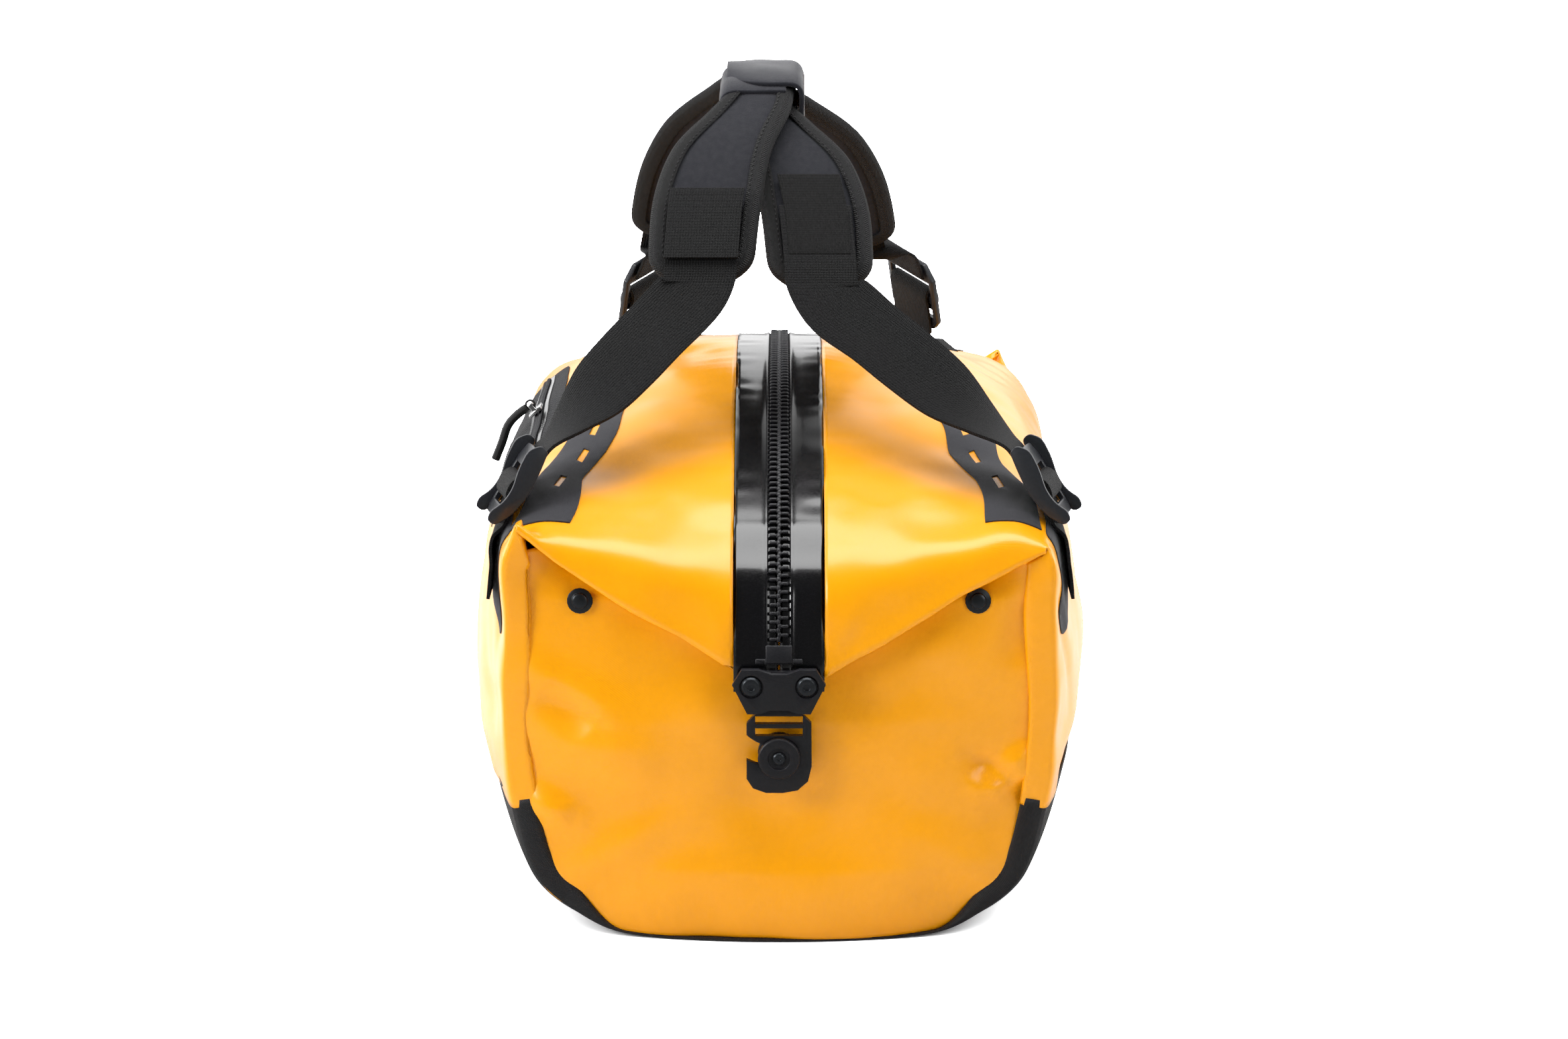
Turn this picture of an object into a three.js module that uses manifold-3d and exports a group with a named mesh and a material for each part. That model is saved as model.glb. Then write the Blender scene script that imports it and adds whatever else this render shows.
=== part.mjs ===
// An expedition duffel: a waterproof bag closed by one long zip over its top, with two padded shoulder straps
// that meet in a hook-and-loop grip. Millimetres. X runs across the bag, Y along the zip, Z up. The origin is
// under the middle of the bag, on the surface it stands on. "Near" is the -Y end and "far" the +Y end.
import * as THREE from "three";
import { mergeVertices } from "three/addons/utils/BufferGeometryUtils.js";
import Module from "manifold-3d";

const wasm = await Module();
wasm.setup();

// ---- driving dimensions ----
const bagLength = 456; // between the two end rims
const bagWidth = 346; // across the belly, at mid-length
const rimWidth = bagWidth - 46; // across the belly, at an end rim
const crestHeight = 277; // top of the zip line, at mid-length
const rimZipHeight = 208; // height of the zip line above an end rim
const earHeight = 220; // height of the folded corner at an end rim
const wideScale = bagWidth / 346; // places on the top and the walls keep their share of the bag's width
const longScale = bagLength / 456; // and of its length
const wall = 1.6; // coated fabric, as a solid
const gap = 0.4; // between pieces that touch
const panelSplit = 4; // outline point where the base meets the side
const tapeHalf = 24; // from the zip's centre line to the edge of its tape
const teethHalf = 5.2; // from the zip's centre line to the edge of its teeth
const teethHeight = 2.6; // teeth above the tape
const tipY = bagLength / 2 + 19.2; // where the tape hangs behind an end plate
const tipTop = 156;
const tipBottom = 142;
const studHeight = 106; // centre of the stud that an end hook closes on
const neckRadius = 5;
const studRadius = 11.4;
const panelBulge = 15; // how far an end panel swells out past its rim
const pivotRise = 31; // hook pivot above the stud
const hookThickness = 4;
const plateThickness = 3.6;
const screwSpread = 14.9; // plate screws, each side of the centre
const screwRise = 40.5; // plate screws, above the stud
const webbingWidth = 40;
const webbingThickness = 2;
const padWidth = 58;
const padWaist = 36; // width of a pad inside the grip
const padThickness = 9;
const gripX = -10; // the grip stands this far off the centre line
const gripZ = 429; // height of the grip's middle
const gripHalf = 38; // half the grip's length, along the bag
const wrapThickness = 3;
const lockWidth = 51; // ladder-lock buckles
const lockLength = 44;
const lockThickness = 3.6;
const fixedTo = 7; // a strap's sewn end stops this far past its fold line
const freeFrom = 10; // and the webbing that swings starts this far past it

// ---- small helpers ----
const V = (x, y, z) => new THREE.Vector3(x, y, z);
const lerp = THREE.MathUtils.lerp;
const rad = THREE.MathUtils.degToRad;
const root = new THREE.Group();

const finish = {
  tarpaulin: { color: 0xf0a30a, roughness: 0.35, metalness: 0 },
  baseFabric: { color: 0x1d1c1e, roughness: 0.8, metalness: 0 },
  tape: { color: 0x111114, roughness: 0.25, metalness: 0 },
  felt: { color: 0x3a3a40, roughness: 0.9, metalness: 0 },
  webbing: { color: 0x141414, roughness: 0.85, metalness: 0 },
  neoprene: { color: 0x26252c, roughness: 0.9, metalness: 0 },
  plastic: { color: 0x2a2a2d, roughness: 0.5, metalness: 0 },
  screw: { color: 0x303336, roughness: 0.4, metalness: 0.6 },
  chrome: { color: 0xd8d8d8, roughness: 0.2, metalness: 1 },
};

function part(name, geometry, look) {
  const mesh = new THREE.Mesh(geometry, new THREE.MeshStandardMaterial(look));
  mesh.name = name;
  root.add(mesh);
  return mesh;
}

// A closed slab between two grids of points, both [row][column].
function slab(outer, inner) {
  const rows = outer.length;
  const cols = outer[0].length;
  const points = [...outer.flat(), ...inner.flat()];
  const at = (layer, r, c) => layer * rows * cols + r * cols + c;
  const faces = [];
  const quad = (a, b, c, d) => faces.push(a, b, c, a, c, d);
  for (let r = 0; r + 1 < rows; r++)
    for (let c = 0; c + 1 < cols; c++) {
      quad(at(0, r, c), at(0, r, c + 1), at(0, r + 1, c + 1), at(0, r + 1, c));
      quad(at(1, r, c), at(1, r + 1, c), at(1, r + 1, c + 1), at(1, r, c + 1));
    }
  for (let r = 0; r + 1 < rows; r++) {
    quad(at(0, r, 0), at(0, r + 1, 0), at(1, r + 1, 0), at(1, r, 0));
    quad(at(0, r, cols - 1), at(1, r, cols - 1), at(1, r + 1, cols - 1), at(0, r + 1, cols - 1));
  }
  for (let c = 0; c + 1 < cols; c++) {
    quad(at(0, 0, c), at(1, 0, c), at(1, 0, c + 1), at(0, 0, c + 1));
    quad(at(0, rows - 1, c), at(0, rows - 1, c + 1), at(1, rows - 1, c + 1), at(1, rows - 1, c));
  }
  const geometry = new THREE.BufferGeometry();
  geometry.setAttribute("position", new THREE.Float32BufferAttribute(points.flatMap((p) => p.toArray()), 3));
  geometry.setIndex(faces);
  return facingOut(geometry);
}

// The same geometry with its faces turned round if they enclose a negative volume.
function facingOut(geometry) {
  const p = geometry.attributes.position;
  const index = geometry.index.array;
  const corner = (i) => V(0, 0, 0).fromBufferAttribute(p, index[i]);
  let volume = 0;
  for (let i = 0; i < index.length; i += 3) volume += corner(i).dot(corner(i + 1).cross(corner(i + 2)));
  if (volume < 0) index.forEach((_, i) => i % 3 === 0 && ([index[i], index[i + 1]] = [index[i + 1], index[i]]));
  return geometry;
}

function toSolid(geometry) {
  const bare = geometry.clone();
  bare.deleteAttribute("normal");
  bare.deleteAttribute("uv");
  const merged = mergeVertices(bare, 1e-4);
  const index = merged.index.array;
  const vertProperties = merged.attributes.position.array;
  return new wasm.Manifold(new wasm.Mesh({ numProp: 3, vertProperties, triVerts: new Uint32Array(index) }));
}

function toGeometry(solid) {
  const mesh = solid.getMesh();
  const geometry = new THREE.BufferGeometry();
  geometry.setAttribute("position", new THREE.BufferAttribute(new Float32Array(mesh.vertProperties), 3));
  geometry.setIndex(new THREE.BufferAttribute(new Uint32Array(mesh.triVerts), 1));
  return geometry;
}

const cut = (body, ...tools) =>
  toGeometry(tools.reduce((left, tool) => left.subtract(toSolid(tool)), toSolid(body)));
const join = (...bodies) => toGeometry(bodies.map(toSolid).reduce((whole, next) => whole.add(next)));

const box = (w, d, h, x, y, z) => new THREE.BoxGeometry(w, d, h).translate(x, y, z);

// A round bar along Y, from y0 to y1.
const barY = (radius, y0, y1, x, z, sides = 20) =>
  new THREE.CylinderGeometry(radius, radius, Math.abs(y1 - y0), sides).translate(x, (y0 + y1) / 2, z);

// ---- the filled bag's outer surface ----
// Half outlines from the middle of the base round to the zip, as [x, z].
const half = bagWidth / 2;
const rimHalf = rimWidth / 2;
const midOutline = [
  [0, 0], [70, 0], [118, 6], [half - 22, 36], [half - 6, 80], [half, 130], [half - 7, 185], [half - 22, 226],
  [half - 49, crestHeight - 26], [half - 93, crestHeight - 9], [tapeHalf, crestHeight - 0.6],
  [0, crestHeight],
];
const rimOutline = [
  [0, 0], [60, 0], [98, 5], [rimHalf - 19, 28], [rimHalf - 5, 72], [rimHalf, 120], [rimHalf - 2, 176],
  [rimHalf - 4, earHeight - 6], [rimHalf - 17, earHeight - 0.5], [80, rimZipHeight + 6],
  [tapeHalf, rimZipHeight + 0.5], [0, rimZipHeight],
];
const rimY = bagLength / 2;
const lastPoint = midOutline.length - 1;
const tapePoint = lastPoint - 1;
const crestDrop = crestHeight - rimZipHeight;
const arcRadius = (rimY * rimY + crestDrop * crestDrop) / (2 * crestDrop);
const arcCentre = crestHeight - arcRadius;
const ridge = (y) => arcCentre + Math.sqrt(arcRadius * arcRadius - y * y);

const outlines = new Map();
function outlineAt(y) {
  if (!outlines.has(y)) {
    const toEnd = Math.pow(Math.abs(y) / rimY, 3);
    const fallen = (crestHeight - ridge(y)) / crestDrop;
    const points = midOutline.map(([x, z], i) =>
      V(lerp(x, rimOutline[i][0], toEnd), y, lerp(z, rimOutline[i][1], i > 5 ? fallen : toEnd)),
    );
    outlines.set(y, new THREE.CatmullRomCurve3(points));
  }
  return outlines.get(y);
}

// A point of the surface: k counts outline points from the base's middle, side is -1 on the left.
function surface(k, y, side) {
  const point = outlineAt(y).getPoint(Math.abs(k) / lastPoint);
  return V(point.x * side * Math.sign(k || 1), y, Math.max(0, point.z));
}

function outward(k, y, side) {
  const step = 0.02;
  const k0 = Math.min(k, lastPoint - step);
  const along = surface(k0 + step, y, side).sub(surface(k0, y, side));
  const y0 = Math.min(y, rimY - 1);
  const back = surface(k0, y0 + 1, side).sub(surface(k0, y0, side));
  return side > 0 ? along.cross(back).normalize().negate() : along.cross(back).normalize();
}

function onSkin(k, y, side, offset) {
  return surface(k, y, side).addScaledVector(outward(k, y, side), offset);
}

// A slab that follows the bag's surface, between two offsets from it. at(r, c) gives [k, y], r and c in 0 to 1.
function skin(rows, cols, at, inner, outer, side) {
  const grid = (offset) =>
    Array.from({ length: rows }, (_, r) =>
      Array.from({ length: cols }, (_, c) => {
        const [k, y] = at(r / (rows - 1), c / (cols - 1));
        const away = typeof offset === "function" ? offset(r / (rows - 1), c / (cols - 1)) : offset;
        return onSkin(k, y, side, away);
      }),
    );
  return slab(grid(outer), grid(inner));
}

// The outline position where the top of the bag has this distance from the centre line.
function pointAtX(x, y) {
  let low = 7;
  let high = lastPoint;
  for (let i = 0; i < 30; i++) {
    const middle = (low + high) / 2;
    if (surface(middle, y, 1).x > x) low = middle;
    else high = middle;
  }
  return low;
}

const endSpaced = (t) => rimY * Math.sin((t * 2 - 1) * Math.PI * 0.5);

// ---- body panels ----
function sidePanel(side) {
  const k0 = panelSplit + 0.008;
  const k1 = tapePoint - 0.008;
  const panel = skin(15, 13, (r, c) => [lerp(k0, k1, c), endSpaced(r)], -wall, 0, side);
  return join(panel, endFlap(side, -1), endFlap(side, 1));
}

// The corner of the top that folds down over an end: a triangle from the ear to the end plate.
function endFlap(side, end) {
  const start = tapeHalf + 0.5;
  const y = rimY - 2.2;
  const columns = [0, 0.25, 0.5, 0.75, 1];
  const top = columns.map((t) => onSkin(pointAtX(lerp(start, rimHalf - 12, t), y), y, side, -0.2));
  const tip = V(start * side, tipY, tipTop - 4);
  const ear = V((rimHalf - 6) * side, rimY + 1, earHeight - 8);
  const low = columns.map((t) => tip.clone().lerp(ear, t));
  const outerRows = [top, low].map((row) => row.map((p) => V(p.x, p.y * end * Math.sign(p.y), p.z)));
  const push = V(0, end * -1.1, -1.2);
  const innerRows = outerRows.map((row) => row.map((p) => p.clone().add(push)));
  return slab(outerRows, innerRows);
}

function basePanel() {
  const k = panelSplit - 0.008;
  return skin(15, 21, (r, c) => [lerp(-k, k, c), endSpaced(r)], -wall, 0, 1);
}

// The end panel's outer face at a height and across its width, from the middle of the bag.
function endFaceY(x, z) {
  const across = Math.max(0, 1 - Math.pow(x / rimHalf, 2));
  const up = Math.max(0, Math.sin((Math.PI * z) / (rimZipHeight - 6)));
  return rimY - 2 + panelBulge * across * Math.min(1, 1.15 * up);
}

function endPanel(end) {
  const heights = [2.8, 6, 14, 28, 50, 80, 106, 130, 155, 180, 197];
  const columns = 13;
  const curve = outlineAt(rimY);
  const halfWidthAt = (z) => {
    let low = 1 / lastPoint;
    let high = 7 / lastPoint;
    for (let i = 0; i < 30; i++) {
      const middle = (low + high) / 2;
      if (curve.getPoint(middle).z < z - 2.6) low = middle;
      else high = middle;
    }
    return curve.getPoint(low).x - wall - 1.4;
  };
  const grid = (offset) =>
    heights.map((z) =>
      Array.from({ length: columns }, (_, c) => {
        const x = halfWidthAt(z) * (2 * c / (columns - 1) - 1);
        return V(x, end * (endFaceY(x, z) - offset), z);
      }),
    );
  return slab(grid(0), grid(wall));
}

for (const [side, word] of [[-1, "left"], [1, "right"]])
  part("side_panel_" + word, sidePanel(side), finish.tarpaulin);
part("base_panel", basePanel(), finish.baseFabric);
part("end_panel_near", endPanel(-1), finish.tarpaulin);
part("end_panel_far", endPanel(1), finish.tarpaulin);

// ---- the zip ----
// The tape's outer face along the bag, as [y, z], near end to far end.
const arcEnd = bagLength / 2 - 16;
const slope = [
  [tipY, tipBottom], [tipY, tipTop], [tipY - 3.1, 167.5], [tipY - 6.7, 181], [tipY - 19.7, rimZipHeight - 5],
];
function zipLine() {
  const steps = 18;
  const arc = Array.from({ length: steps + 1 }, (_, i) => {
    const y = lerp(-arcEnd, arcEnd, i / steps);
    return [y, ridge(y)];
  });
  return [...slope.map(([y, z]) => [-y, z]), ...arc, ...[...slope].reverse()];
}

// A strip along a line of [y, z], between x0 and x1, from low to high above the line.
function strip(line, x0, x1, low, high) {
  const normal = (i) => {
    const a = line[Math.max(0, i - 1)];
    const b = line[Math.min(line.length - 1, i + 1)];
    const length = Math.hypot(b[0] - a[0], b[1] - a[1]);
    return [-(b[1] - a[1]) / length, (b[0] - a[0]) / length];
  };
  const grid = (offset) =>
    line.map(([y, z], i) => [x0, x1].map((x) => V(x, y + normal(i)[0] * offset, z + normal(i)[1] * offset)));
  return slab(grid(high), grid(low));
}

const line = zipLine();
const teethLine = line.slice(2, -2);
for (const [side, word] of [[-1, "left"], [1, "right"]]) {
  part("zip_tape_" + word, strip(line, side * 0.3, side * (tapeHalf - 0.2), -1, 0), finish.tape);
  part("zip_teeth_" + word, strip(teethLine, side * 0.2, side * teethHalf, 0.4, teethHeight), finish.plastic);
}

// ---- end closures: built at the near end, where out is -Y, and turned round for the far end ----
const bothEnds = [["near", 0], ["far", Math.PI]];
const tapeFace = tipY + gap;
const hookBack = tapeFace + 0.3;
const hookFront = hookBack + hookThickness;
const plateBack = hookFront + 0.5;
const plateFront = plateBack + plateThickness;
const pivotZ = studHeight + pivotRise;
const screwZ = studHeight + screwRise;

// A flat piece with an outline in X and Z, between two distances from the middle of the bag.
function facing(outline, inner, outer, steps = 8) {
  const settings = { depth: outer - inner, bevelEnabled: false, curveSegments: steps };
  const solid = new THREE.ExtrudeGeometry(outline, settings);
  return solid.rotateX(Math.PI / 2).translate(0, -inner, 0);
}

function polygon(points) {
  return new THREE.Shape(points.map(([x, z]) => new THREE.Vector2(x, z)));
}

// A round bar pointing out of the near end.
const bossAt = (radius, inner, outer, x, z, sides = 20) => barY(radius, -outer, -inner, x, z, sides);

function endPlate() {
  const front = polygon([
    [-25, screwZ + 1], [-20, 156], [-11, 156], [-4, 153.4], [4, 153.4], [11, 156], [20, 156],
    [25, screwZ + 1],
    [17, 131.4], [10, 131.4], [5, 133.4], [-5, 133.4], [-10, 131.4], [-17, 131.4],
  ]);
  const pieces = [facing(front, plateBack, plateFront)];
  pieces.push(box(38, plateBack - tapeFace + 0.5, 3.4, 0, -(tapeFace + plateBack + 0.5) / 2, 152.2));
  pieces.push(bossAt(3.6, hookBack, plateBack + 1, 0, pivotZ));
  for (const side of [-1, 1]) pieces.push(bossAt(4.6, tapeFace, plateBack + 1, side * screwSpread, screwZ));
  const seat = (side) => bossAt(6.4, plateFront - 1.4, plateFront + 1, side * screwSpread, screwZ, 24);
  const seats = [-1, 1].map(seat);
  return cut(join(...pieces), ...seats);
}

function plateScrew(side) {
  const head = [[0, 0], [5.6, 0], [5.6, 0.8], [4.4, 2.2], [1.9, 2.2], [1.9, 1.2], [0, 1.2]];
  return turned(head, 18).rotateZ(Math.PI).translate(side * screwSpread, -(plateFront - 1.1), screwZ);
}

// A turned piece whose profile is [radius, distance out along Y].
function turned(profile, sides = 28) {
  const lathe = new THREE.LatheGeometry(profile.map(([r, y]) => new THREE.Vector2(r, y)), sides);
  lathe.deleteAttribute("normal");
  lathe.deleteAttribute("uv");
  return facingOut(mergeVertices(dropFlat(lathe), 1e-4));
}

// Drops the faces with no area that a lathe makes on its axis.
function dropFlat(geometry) {
  const merged = mergeVertices(geometry, 1e-4);
  const index = [...merged.index.array];
  const kept = [];
  for (let i = 0; i < index.length; i += 3) {
    const [a, b, c] = index.slice(i, i + 3);
    if (a !== b && b !== c && c !== a) kept.push(a, b, c);
  }
  merged.setIndex(kept);
  return merged;
}

// The hook closes on the stud by swinging about its pivot, so its mouth is an arc round that pivot.
function endHook() {
  const body = polygon([
    [-12, 130.6], [12, 130.6], [17.4, 125], [17.6, 101], [15.6, 92.5], [10, 87.4], [2, 86], [-7, 86],
    [-14, 88.6],
    [-17.4, 94], [-17.4, 125],
  ]);
  const tongueOutline = polygon([[-8.4, 126], [8.4, 126], [8.4, pivotZ], [-8.4, pivotZ]]);
  const tongue = facing(tongueOutline, hookBack, hookFront);
  const eye = bossAt(8.4, hookBack, hookFront, 0, pivotZ, 32);
  const mouth = new THREE.Shape();
  const halfMouth = neckRadius + 0.7;
  const down = -Math.PI / 2;
  mouth.absarc(0, pivotZ, pivotRise + halfMouth, down, down - rad(50), true);
  mouth.absarc(0, pivotZ, pivotRise - halfMouth, down - rad(50), down, false);
  const tools = [facing(mouth, hookBack - 1, hookFront + 1, 16)];
  tools.push(bossAt(halfMouth, hookBack - 1, hookFront + 1, 0, studHeight, 28));
  tools.push(bossAt(4, hookBack - 1, hookFront + 1, 0, pivotZ, 24));
  for (const z of [120.2, 126.9]) tools.push(box(25.5, 20, 4.3, 0, -hookBack, z));
  return cut(join(facing(body, hookBack, hookFront), tongue, eye), ...tools);
}

function stud() {
  const base = endFaceY(0, studHeight) + gap;
  const front = hookFront + 0.6;
  const profile = [
    [0, base], [studRadius, base], [studRadius, base + 2.2], [neckRadius, base + 3], [neckRadius, front],
    [studRadius, front], [studRadius, front + 2.2], [studRadius - 0.8, front + 3], [6, front + 3],
    [6, front + 1.4],
    [0, front + 1.4],
  ];
  return turned(profile).rotateZ(Math.PI).translate(0, 0, studHeight);
}

function studScrew() {
  const seat = hookFront + 0.6 + 1.4 + 0.3;
  const head = [
    [0, seat], [3.5, seat], [3.5, seat + 0.7], [2.6, seat + 1.5], [1.2, seat + 1.5], [1.2, seat + 0.7],
    [0, seat + 0.7],
  ];
  return turned(head, 18).rotateZ(Math.PI).translate(0, 0, studHeight);
}

// The moulded block that closes the end of the zip, above the plate.
function zipEndStop() {
  const onSlope = (z) => [-lerp(tipY, tipY - 3.1, (z - tipTop) / 11.5), z];
  const block = strip([onSlope(157), onSlope(166.4)], -7.15, 7.15, 0.4, 3.4);
  const foot = strip([onSlope(156.6), onSlope(159.4)], -12.7, 12.7, 0.4, 1.8);
  return join(block, foot);
}

// Washer and screw at the top corner of an end panel, under the folded flap.
function cornerFastener(side) {
  const x = 107 * wideScale * side;
  const z = 187;
  const profile = [[0, 0], [7, 0], [7, 1.1], [4.4, 1.3], [4.2, 2.2], [2.6, 2.7], [0, 2.8]];
  const face = endFaceY(x, z);
  const tilt = Math.atan2(endFaceY(x, z - 4) - endFaceY(x, z + 4), 8);
  const turn = Math.atan2(endFaceY(Math.abs(x) - 4, z) - endFaceY(Math.abs(x) + 4, z), 8) * side;
  const fastener = turned(profile, 18).rotateZ(Math.PI + turn).rotateX(-tilt);
  return fastener.translate(x, -face - 1, z);
}

for (const [word, turn] of bothEnds) {
  part("end_plate_" + word, endPlate().rotateZ(turn), finish.plastic);
  part("end_hook_" + word, endHook().rotateZ(turn), finish.plastic);
  part("hook_stud_" + word, stud().rotateZ(turn), finish.plastic);
  part("stud_screw_" + word, studScrew().rotateZ(turn), finish.screw);
  part("zip_end_stop_" + word, zipEndStop().rotateZ(turn), finish.plastic);
  for (const side of [-1, 1]) {
    const hand = side * (turn ? -1 : 1) < 0 ? "left" : "right";
    part("plate_screw_" + word + "_" + hand, plateScrew(side).rotateZ(turn), finish.screw);
    part("corner_fastener_" + word + "_" + hand, cornerFastener(side).rotateZ(turn), finish.screw);
  }
}

// ---- zip slider, riding the arc of the zip, with its pull ----
const sliderRest = bagLength / 2 - 30; // how far it is parked towards the far end
const sliderAngle = Math.asin(sliderRest / arcRadius);
const bridgeZ = teethHeight + 4.6;

function placeOnArc(geometry) {
  return geometry.translate(0, 0, arcRadius).rotateX(-sliderAngle).translate(0, 0, arcCentre);
}

function zipSlider() {
  const cheek = teethHalf + 1.5;
  const top = box(2 * cheek + 1.6, 24, 2, 0, 0, teethHeight + 1.6);
  const cheeks = [-1, 1].map((side) => box(1.6, 24, teethHeight + 1, side * cheek, 0, teethHeight / 2 + 1));
  const arch = cut(box(3, 9, 6, 0, 0, bridgeZ + 0.4), box(6, 5, 3.6, 0, 0, bridgeZ));
  return placeOnArc(join(top, ...cheeks, arch));
}

function zipPull() {
  const tab = box(11, 44, 2.2, 0, 21, bridgeZ);
  const window = box(5, 9.4, 6, 0, 5.8, bridgeZ);
  return placeOnArc(cut(tab, window));
}

part("zip_slider", zipSlider(), finish.plastic);
part("zip_pull", zipPull(), finish.plastic);

// ---- daisy strips, anchors and side pocket, all lying on the shell ----
const daisyPath = [
  [-206, 127], [-167, 122], [-138, 111], [-60, 96], [44, 77], [84, 63], [98, 55], [118, 68], [140, 84],
].map(([y, x]) => [y * longScale, x * wideScale]);

function along(path, t) {
  for (let i = 1; i < path.length; i++)
    if (t <= path[i][0] || i === path.length - 1) {
      const f = (t - path[i - 1][0]) / (path[i][0] - path[i - 1][0]);
      return lerp(path[i - 1][1], path[i][1], f);
    }
}

function daisyStrip(side) {
  const low = daisyPath[0][0];
  const high = daisyPath[daisyPath.length - 1][0];
  const at = (r, c) => {
    const y = lerp(low, high, r);
    return [pointAtX(along(daisyPath, y) + lerp(15, -15, c), y), y];
  };
  return skin(19, 5, at, 0.4, 1.4, side);
}

// Fixed patch at one end of a strap, and the line that the strap folds about, from its near end to its far end.
const nearAnchor = { k: 6.6, y: -186 * longScale };
const farAnchor = { x: 90 * wideScale, y: 160 * longScale };

function anchorPatch(side, end) {
  if (end < 0) return skin(5, 6, (r, c) => [lerp(5.75, 7.25, c), nearAnchor.y + lerp(-34, 22, r)], 0.4, 1.4, side);
  const at = (r, c) => {
    const y = farAnchor.y + lerp(-14, 38, r);
    return [pointAtX(lerp(farAnchor.x + 24, farAnchor.x - 20, c), y), y];
  };
  return skin(5, 6, at, 0.4, 1.4, side);
}

for (const [side, word] of [[-1, "left"], [1, "right"]]) {
  part("daisy_strip_" + word, daisyStrip(side), finish.felt);
  part("anchor_patch_near_" + word, anchorPatch(side, -1), finish.felt);
  part("anchor_patch_far_" + word, anchorPatch(side, 1), finish.felt);
}

const pocketZipK = 7.5;
const pocketSliderY = -15;
const pocketPanel = () => skin(9, 7, (r, c) => [lerp(6.2, 7.95, c), lerp(-100, 92, r)], 0.4, 1.6, -1);
const pocketZip = () =>
  skin(9, 3, (r, c) => [lerp(pocketZipK - 0.09, pocketZipK + 0.09, c), lerp(-92, 84, r)], 2, 3.4, -1);

// The tilt of the shell where the pocket zip lies, and a place at a height above it.
const pocketOut = outward(pocketZipK, pocketSliderY, -1);
const pocketPlace = (rise, y = 0) => onSkin(pocketZipK, pocketSliderY + y, -1, rise);

const pullerRise = 9.9; // middle of the slider's bar, above the shell

function pocketSlider() {
  const body = box(9, 12, 1.8, 0, 0, 5.1);
  const eye = cut(box(2.6, 7, 5, 0, 0, pullerRise - 2), box(5, 3.4, 3.2, 0, 0, pullerRise - 2.1));
  const foot = surface(pocketZipK, pocketSliderY, -1);
  const turn = Math.atan2(pocketOut.x, pocketOut.z);
  return join(body, eye).rotateY(turn).translate(foot.x, foot.y, foot.z);
}

// A ring on the slider's bar, with a moulded puller that hangs off it.
function pocketPuller() {
  const eye = pocketPlace(pullerRise);
  const ring = new THREE.TorusGeometry(2.6, 0.7, 8, 20).rotateX(Math.PI / 2).translate(eye.x, eye.y, eye.z);
  const section = new THREE.Shape();
  section.absellipse(0, 0, 2, 2.6, 0, Math.PI * 2);
  const points = [[-2, -1.8], [-7, -5.4], [-13, -12], [-17, -23], [-21, -33]];
  const extrudePath = new THREE.CatmullRomCurve3(points.map(([x, z]) => V(eye.x + x, eye.y, eye.z + z)));
  const grip = new THREE.ExtrudeGeometry(section, { steps: 12, extrudePath, curveSegments: 4 });
  return join(cut(grip, box(2.8, 7, 2.8, eye.x, eye.y, eye.z)), ring);
}

part("pocket_panel", pocketPanel(), finish.felt);
part("pocket_zip", pocketZip(), finish.tape);
part("pocket_slider", pocketSlider(), finish.chrome);
part("pocket_puller", pocketPuller(), finish.plastic);

// ---- shoulder straps ----
// Middle of a pad from its near end to its far end: [y, distance from the grip's middle, height, half width].
const padLine = [
  [-124, 34, 338, padWidth / 2 - 7], [-118, 33, 349, padWidth / 2 - 1], [-96, 30, 378, padWidth / 2],
  [-72, 22, 403, padWidth / 2 - 3], [-gripHalf - 10, 6, gripZ - 8, padWaist / 2 + 3],
  [-gripHalf + 4, 0, gripZ - 0.4, padWaist / 2], [0, 0, gripZ, padWaist / 2],
  [gripHalf - 4, 0, gripZ - 0.4, padWaist / 2], [gripHalf + 10, 9, gripZ - 10, padWaist / 2 + 3],
  [74, 30, 396, padWidth / 2 - 3], [98, 44, 364, padWidth / 2], [120, 52, 330, padWidth / 2 - 1],
  [125, 54, 319, padWidth / 2 - 7],
];
const stack = padThickness / 2 + 0.6; // the left pad lies on the right one inside the grip

function padFrames(side) {
  const place = ([y, away, z]) => V(gripX + side * away, Math.abs(y) > 60 ? y * longScale : y, z);
  const middle = new THREE.CatmullRomCurve3(padLine.map(place));
  return padLine.map(([, , , halfWidth], i) => {
    const t = i / (padLine.length - 1);
    const wide = V(1, 0, 0);
    const up = wide.clone().cross(middle.getTangent(t)).normalize();
    const centre = middle.getPoint(t).addScaledVector(up, -side * stack);
    return { centre, wide, up, halfWidth };
  });
}

// A ribbon through frames, its faces at two distances along each frame's own up.
function ribbon(frames, low, high, columns = 2) {
  const grid = (offset) =>
    frames.map(({ centre, wide, up, halfWidth }) =>
      Array.from({ length: columns }, (_, c) =>
        centre
          .clone()
          .addScaledVector(wide, halfWidth * ((2 * c) / (columns - 1) - 1))
          .addScaledVector(up, offset),
      ),
    );
  return slab(grid(high), grid(low));
}

// Frames between frames, smoothly.
function refine(frames, steps) {
  const centres = new THREE.CatmullRomCurve3(frames.map((f) => f.centre));
  const edgeOf = (f) => f.centre.clone().addScaledVector(f.wide, f.halfWidth);
  const edges = new THREE.CatmullRomCurve3(frames.map(edgeOf));
  return Array.from({ length: steps + 1 }, (_, i) => {
    const t = i / steps;
    const centre = centres.getPoint(t);
    const edge = edges.getPoint(t).sub(centre);
    const tangent = centres.getTangent(t);
    const wide = edge.clone().normalize();
    return { centre, wide, up: wide.clone().cross(tangent).normalize(), halfWidth: edge.length() };
  });
}

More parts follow.
